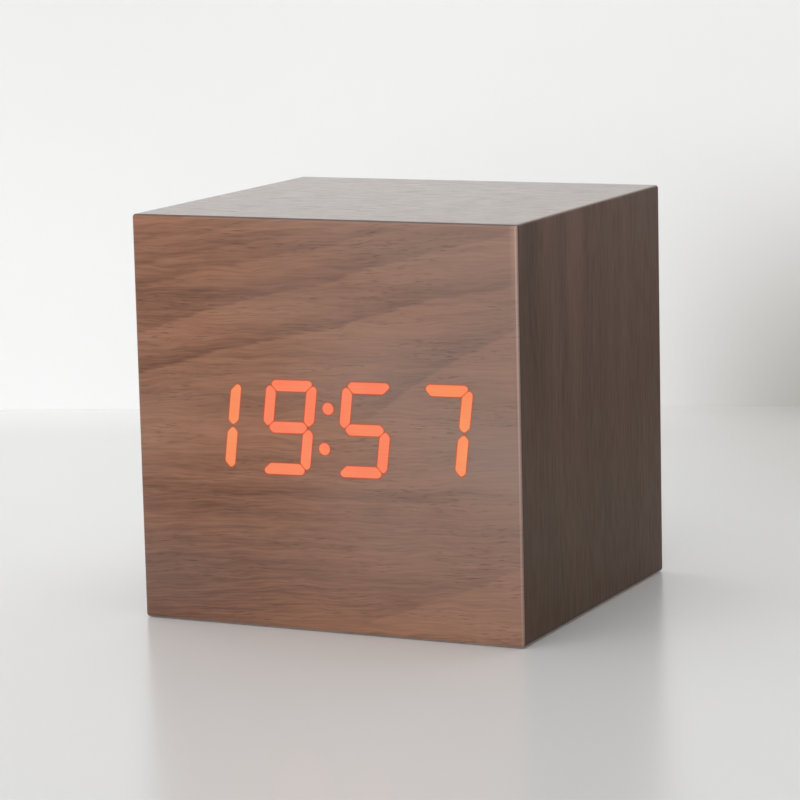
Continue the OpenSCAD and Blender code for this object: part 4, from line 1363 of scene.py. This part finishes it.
@dataclass
class Fittings:
    """The carried-over CAD nodes: boards, moulded parts, circuits and metal."""

    def finishes(self) -> list[tuple[object, tuple[str, ...]]]:
        """Lists each finish with the nodes that wear it.

        Returns:
            Pairs of a finish and the names of its nodes.
        """
        return [
            (TimberFinish("fibreboard", "b98f62", "94704c", 0.85),
             ("front_board", "top_board", "bottom_board", "left_board", "right_board")),
            (TimberFinish("softwood", "cfae7c", "b08a58", 0.25), ("corner_blocks",)),
            (MouldedFinish("cover_plastic", "1d1d1f", "262628", 0.22, 0.035, 0.52),
             ("rear_cover", "battery_door")),
            (MouldedFinish("button_plastic", "39393c", "434346", 0.3, 0.008, 0.40),
             ("set_button", "up_button", "down_button")),
            (MouldedFinish("mask_plastic", "262628", "2e2e30", 0.3, 0.01, 0.6), ("segment_mask",)),
            (MouldedFinish("film", "dcd6c9", "cfc8b9", 0.15, 0.006, 0.6), ("diffuser_film",)),
            (MouldedFinish("chip_epoxy", "232327", "2c2c30", 0.12, 0.012, 0.55),
             ("driver_chip", "clock_chip", "sounder", "ribbon_plugs", "usb_tongue", "switch_bodies")),
            (MouldedFinish("plunger_plastic", "d9d2c0", "cbc3ae", 0.4, 0.006, 0.42),
             ("set_plunger", "up_plunger", "down_plunger")),
            (MouldedFinish("spacer_plastic", "d6d3cb", "c7c3b9", 0.4, 0.006, 0.45), ("display_spacers",)),
            (MouldedFinish("rubber", "232325", "2b2b2d", 0.3, 0.02, 0.75), ("microphone_boot",)),
            (MouldedFinish("sleeve", "2a3860", "33436f", 0.5, 0.004, 0.3), ("smoothing_capacitor",)),
            (MouldedFinish("light_chips", "f0e2a4", "e2d08a", 0.2, 0.004, 0.3), ("led_chips",)),
            (LampFinish("potting", "ff8a62", 0.4), ("segment_lenses", "colon_lenses")),
            (CircuitFinish("circuit_board"), ("display_board", "control_board")),
            (DrawnMetalFinish("plated_steel", "d0ccc3", "a39f96", (6.0, 0.4, 6.0), 0.28),
             ("display_screws", "board_screws", "microphone", "quartz_crystal", "contact_plates")),
            (DrawnMetalFinish("screw_steel", "8b8984", "615f5b", (3.0, 3.0, 3.0), 0.36), ("cover_screws",)),
            (DrawnMetalFinish("socket_steel", "cdcdcf", "a9a9ac", (0.5, 5.0, 5.0), 0.26), ("usb_shell",)),
        ]

    def build(self) -> None:
        """Dresses every node in its finish."""
        for finish, nodes in self.finishes():
            material = finish.material()
            for node in nodes:
                dress(node, material)


@dataclass(frozen=True)
class SoftLamp:
    """A soft rectangular lamp: where it hangs, the point it faces, its width and height, and its power."""

    name: str
    place: Triple
    aim: Triple
    size: Pair
    watts: float
    mirrored: bool = True

    def hang(self) -> None:
        """Hangs the lamp. One that isn't mirrored stays out of glossy reflections."""
        data = bpy.data.lights.new(self.name, "AREA")
        data.shape, data.energy = "RECTANGLE", self.watts
        data.size, data.size_y = self.size[0] * MM, self.size[1] * MM
        hung = bpy.data.objects.new(self.name, data)
        turn = (Vector(self.place) - Vector(self.aim)).to_track_quat("Z", "Y").to_matrix().to_4x4()
        hung.matrix_world = Matrix.Translation(Vector(self.place) * MM) @ turn
        hung.visible_glossy = self.mirrored
        bpy.context.scene.collection.objects.link(hung)


@dataclass
class Studio:
    """The camera at the photograph's angle, a pale table against a wall, and soft lamps."""

    azimuth: float = 25.42
    elevation: float = 9.39
    roll: float = -1.365
    distance: float = 571.4
    focal: float = 153.19
    sensor: float = 36.0
    target: Triple = (-0.861, -0.519, 33.154)
    wall_back: float = 188.0
    wall_turn: float = 18.6
    wall_h: float = 1400.0
    table_l: float = 1500.0
    half_w: float = 1800.0
    clear: float = 0.1
    fade: float = 38.0
    fade_share: float = 0.5
    table_near: float = -250.0
    table_rows: int = 30
    wall_foot: float = 5.0
    wall_rows: int = 12
    columns: int = 5
    # Where the painted shadow lies on the wall: its span across, the height where it ends, and its darkness
    # at the floor.
    shadow_aside: Pair = (20.0, 75.0)
    shadow_h: float = 68.0
    shadow_depth: float = 0.85
    roughness: Pair = (0.24, 0.9)
    fill: float = 0.25
    bright: float = 0.95

    # Tones of the backdrop; the shade patches are painted shade on the table and the wall.
    SHADOW_TONE = "b9b6b0"
    TABLE_FALLOFF_TONES = ("cccccb", "dfdfde")
    WALL_TONE = "f5f5f5"
    GROUND_TONE = "f4f4f4"
    TABLE_SHADE = TonePatch(120.0, 165.0, 150.0, 120.0, 0.36)
    WALL_SHADE = TonePatch(-110.0, 140.0, 120.0, 120.0, 0.16)
    LAMPS = (
        SoftLamp("window", (-170.0, -1000.0, 440.0), (0.0, 0.0, 30.0), (2000.0, 840.0), 11.3, False),
        SoftLamp("ceiling", (-90.0, -20.0, 900.0), (-60.0, 0.0, 0.0), (1000.0, 1000.0), 5.0),
        SoftLamp("right", (920.0, -420.0, 160.0), (0.0, 0.0, 30.0), (200.0, 260.0), 0.4),
    )

    def camera(self) -> None:
        """Places the camera on its sphere round the target and turns it by the roll."""
        az, el, roll = (math.radians(a) for a in (self.azimuth, self.elevation, self.roll))
        back = Vector((math.sin(az) * math.cos(el), -math.cos(az) * math.cos(el), math.sin(el)))
        right = Vector((0, 0, 1)).cross(back).normalized()
        up = back.cross(right)
        c, s = math.cos(roll), math.sin(roll)
        leaned = (right * c + up * s, up * c - right * s, back)
        place = (Vector(self.target) + back * self.distance) * MM
        lens = bpy.data.cameras.new("camera")
        lens.lens, lens.sensor_width, lens.clip_start = self.focal, self.sensor, 0.01
        shot = bpy.data.objects.new("camera", lens)
        shot.matrix_world = Matrix.Translation(place) @ Matrix(leaned).transposed().to_4x4()
        bpy.context.scene.collection.objects.link(shot)
        bpy.context.scene.camera = shot

    def backdrop(self) -> None:
        """Makes the table and the wall as one sheet: level, then upright, carried across the view."""
        level = np.linspace(-self.table_l, self.wall_back, self.table_rows)
        raised = np.linspace(self.wall_foot, self.wall_h, self.wall_rows)
        profile_y = np.concatenate([level, np.full(len(raised), self.wall_back)])
        profile_z = np.concatenate([np.zeros(len(level)), raised]) - self.clear
        x, depth = np.meshgrid(np.linspace(-self.half_w, self.half_w, self.columns), profile_y)
        c, s = math.cos(math.radians(self.wall_turn)), math.sin(math.radians(self.wall_turn))
        height = np.broadcast_to(profile_z[:, None], x.shape)
        points = np.stack([x * c - depth * s, x * s + depth * c, height], axis=-1)
        index = np.arange(x.size).reshape(x.shape)
        quads = np.stack([index[:-1, :-1], index[:-1, 1:], index[1:, 1:], index[1:, :-1]], -1).reshape(-1, 4)
        mesh = bpy.data.meshes.new("backdrop")
        mesh.from_pydata((points.reshape(-1, 3) * MM).tolist(), [], quads.tolist())
        mesh.materials.append(self.backdrop_material())
        sheet = bpy.data.objects.new("backdrop", mesh)
        bpy.context.scene.collection.objects.link(sheet)

    def backdrop_material(self) -> Material:
        """Makes a satin pale table and a matt white wall with painted shade and shadows; the wall's colour
        runs a little way out over the table.

        The sheet is clear from behind. Well in front of the wall it is also clear to very short rays, such
        as leave the clock's underside, so that the underside can be looked at from below.

        Returns:
            The material.
        """
        made, graph, shader = start_material("backdrop")
        x, y, z = graph.split(graph.place())
        c, s = math.cos(math.radians(self.wall_turn)), math.sin(math.radians(self.wall_turn))
        aside = graph.plus(graph.times(x, c), graph.times(y, s))
        far = graph.minus(graph.times(y, c), graph.times(x, s))
        # Painted light: the table is darker towards the viewer and lighter towards the wall, and a painted
        # shadow lies on it to the right of the clock, near the wall.
        table = graph.blend(graph.ramp(far, self.table_near, self.wall_back), *self.TABLE_FALLOFF_TONES)
        table = graph.blend(self.TABLE_SHADE.shade(graph, aside, far), table, self.SHADOW_TONE)
        # Painted shadow on the wall to the right of the clock, darkest at the floor and gone at the shadow
        # height, with a weak painted shade high on the wall to the left.
        low = graph.ramp(z, 0.0, self.shadow_h, self.shadow_depth, 0.0)
        painted_shadow = graph.times(graph.ramp(aside, *self.shadow_aside), low)
        painted_shadow = graph.plus(painted_shadow, self.WALL_SHADE.shade(graph, aside, z))
        upright_tone = graph.blend(painted_shadow, self.WALL_TONE, self.SHADOW_TONE)
        foot = graph.ramp(far, self.wall_back - self.fade, self.wall_back, 0.0, self.fade_share)
        wall = graph.math("GREATER_THAN", z, -self.clear / 2)
        shown = graph.blend(graph.math("MAXIMUM", foot, wall), table, upright_tone)
        graph.feed(shader, {"Base Color": shown, "Roughness": graph.ramp(wall, 0.0, 1.0, *self.roughness)})
        behind = graph.add("ShaderNodeNewGeometry", {}).outputs["Backfacing"]
        length = graph.add("ShaderNodeLightPath", {}).outputs["Ray Length"]
        short = graph.math("LESS_THAN", length, 10 * self.clear * MM)
        under = graph.math("LESS_THAN", far, self.wall_back / 2)
        opened = graph.math("MAXIMUM", behind, graph.times(short, under))
        clear = graph.add("ShaderNodeBsdfTransparent", {})
        seen = graph.add("ShaderNodeMixShader", {0: opened, 1: shader.outputs[0], 2: clear.outputs[0]})
        graph.fill(made.node_tree.nodes["Material Output"].inputs["Surface"], seen.outputs[0])
        return made

    def world(self) -> None:
        """Sets an even fill of light, and a bright ground for camera, glossy and transmitted rays."""
        world = bpy.data.worlds.new("studio")
        bpy.context.scene.world = world
        world.use_nodes = True
        graph = Graph(world.node_tree)
        rays = graph.add("ShaderNodeLightPath", {}).outputs
        seen = graph.math("MAXIMUM", rays["Is Camera Ray"], rays["Is Glossy Ray"])
        seen = graph.math("MAXIMUM", seen, rays["Is Transmission Ray"])
        strength = graph.ramp(seen, 0.0, 1.0, self.fill, self.bright)
        graph.feed(world.node_tree.nodes["Background"], {"Color": self.GROUND_TONE, "Strength": strength})

    def build(self) -> None:
        """Builds the studio."""
        self.camera()
        self.backdrop()
        for lamp in self.LAMPS:
            lamp.hang()
        self.world()
        bpy.context.scene.view_settings.view_transform = "Standard"


def main() -> None:
    """Builds the studio and the clock's pieces in order."""
    logging.basicConfig(level=logging.INFO, format="%(name)s: %(message)s")
    for part in (Studio(), WalnutCase(), LitDisplay(), BatteryBay(), RibbonCable(), RearMarks(), Fittings()):
        LOG.info("building %s", type(part).__name__)
        part.build()


if __name__ == "__main__":
    main()
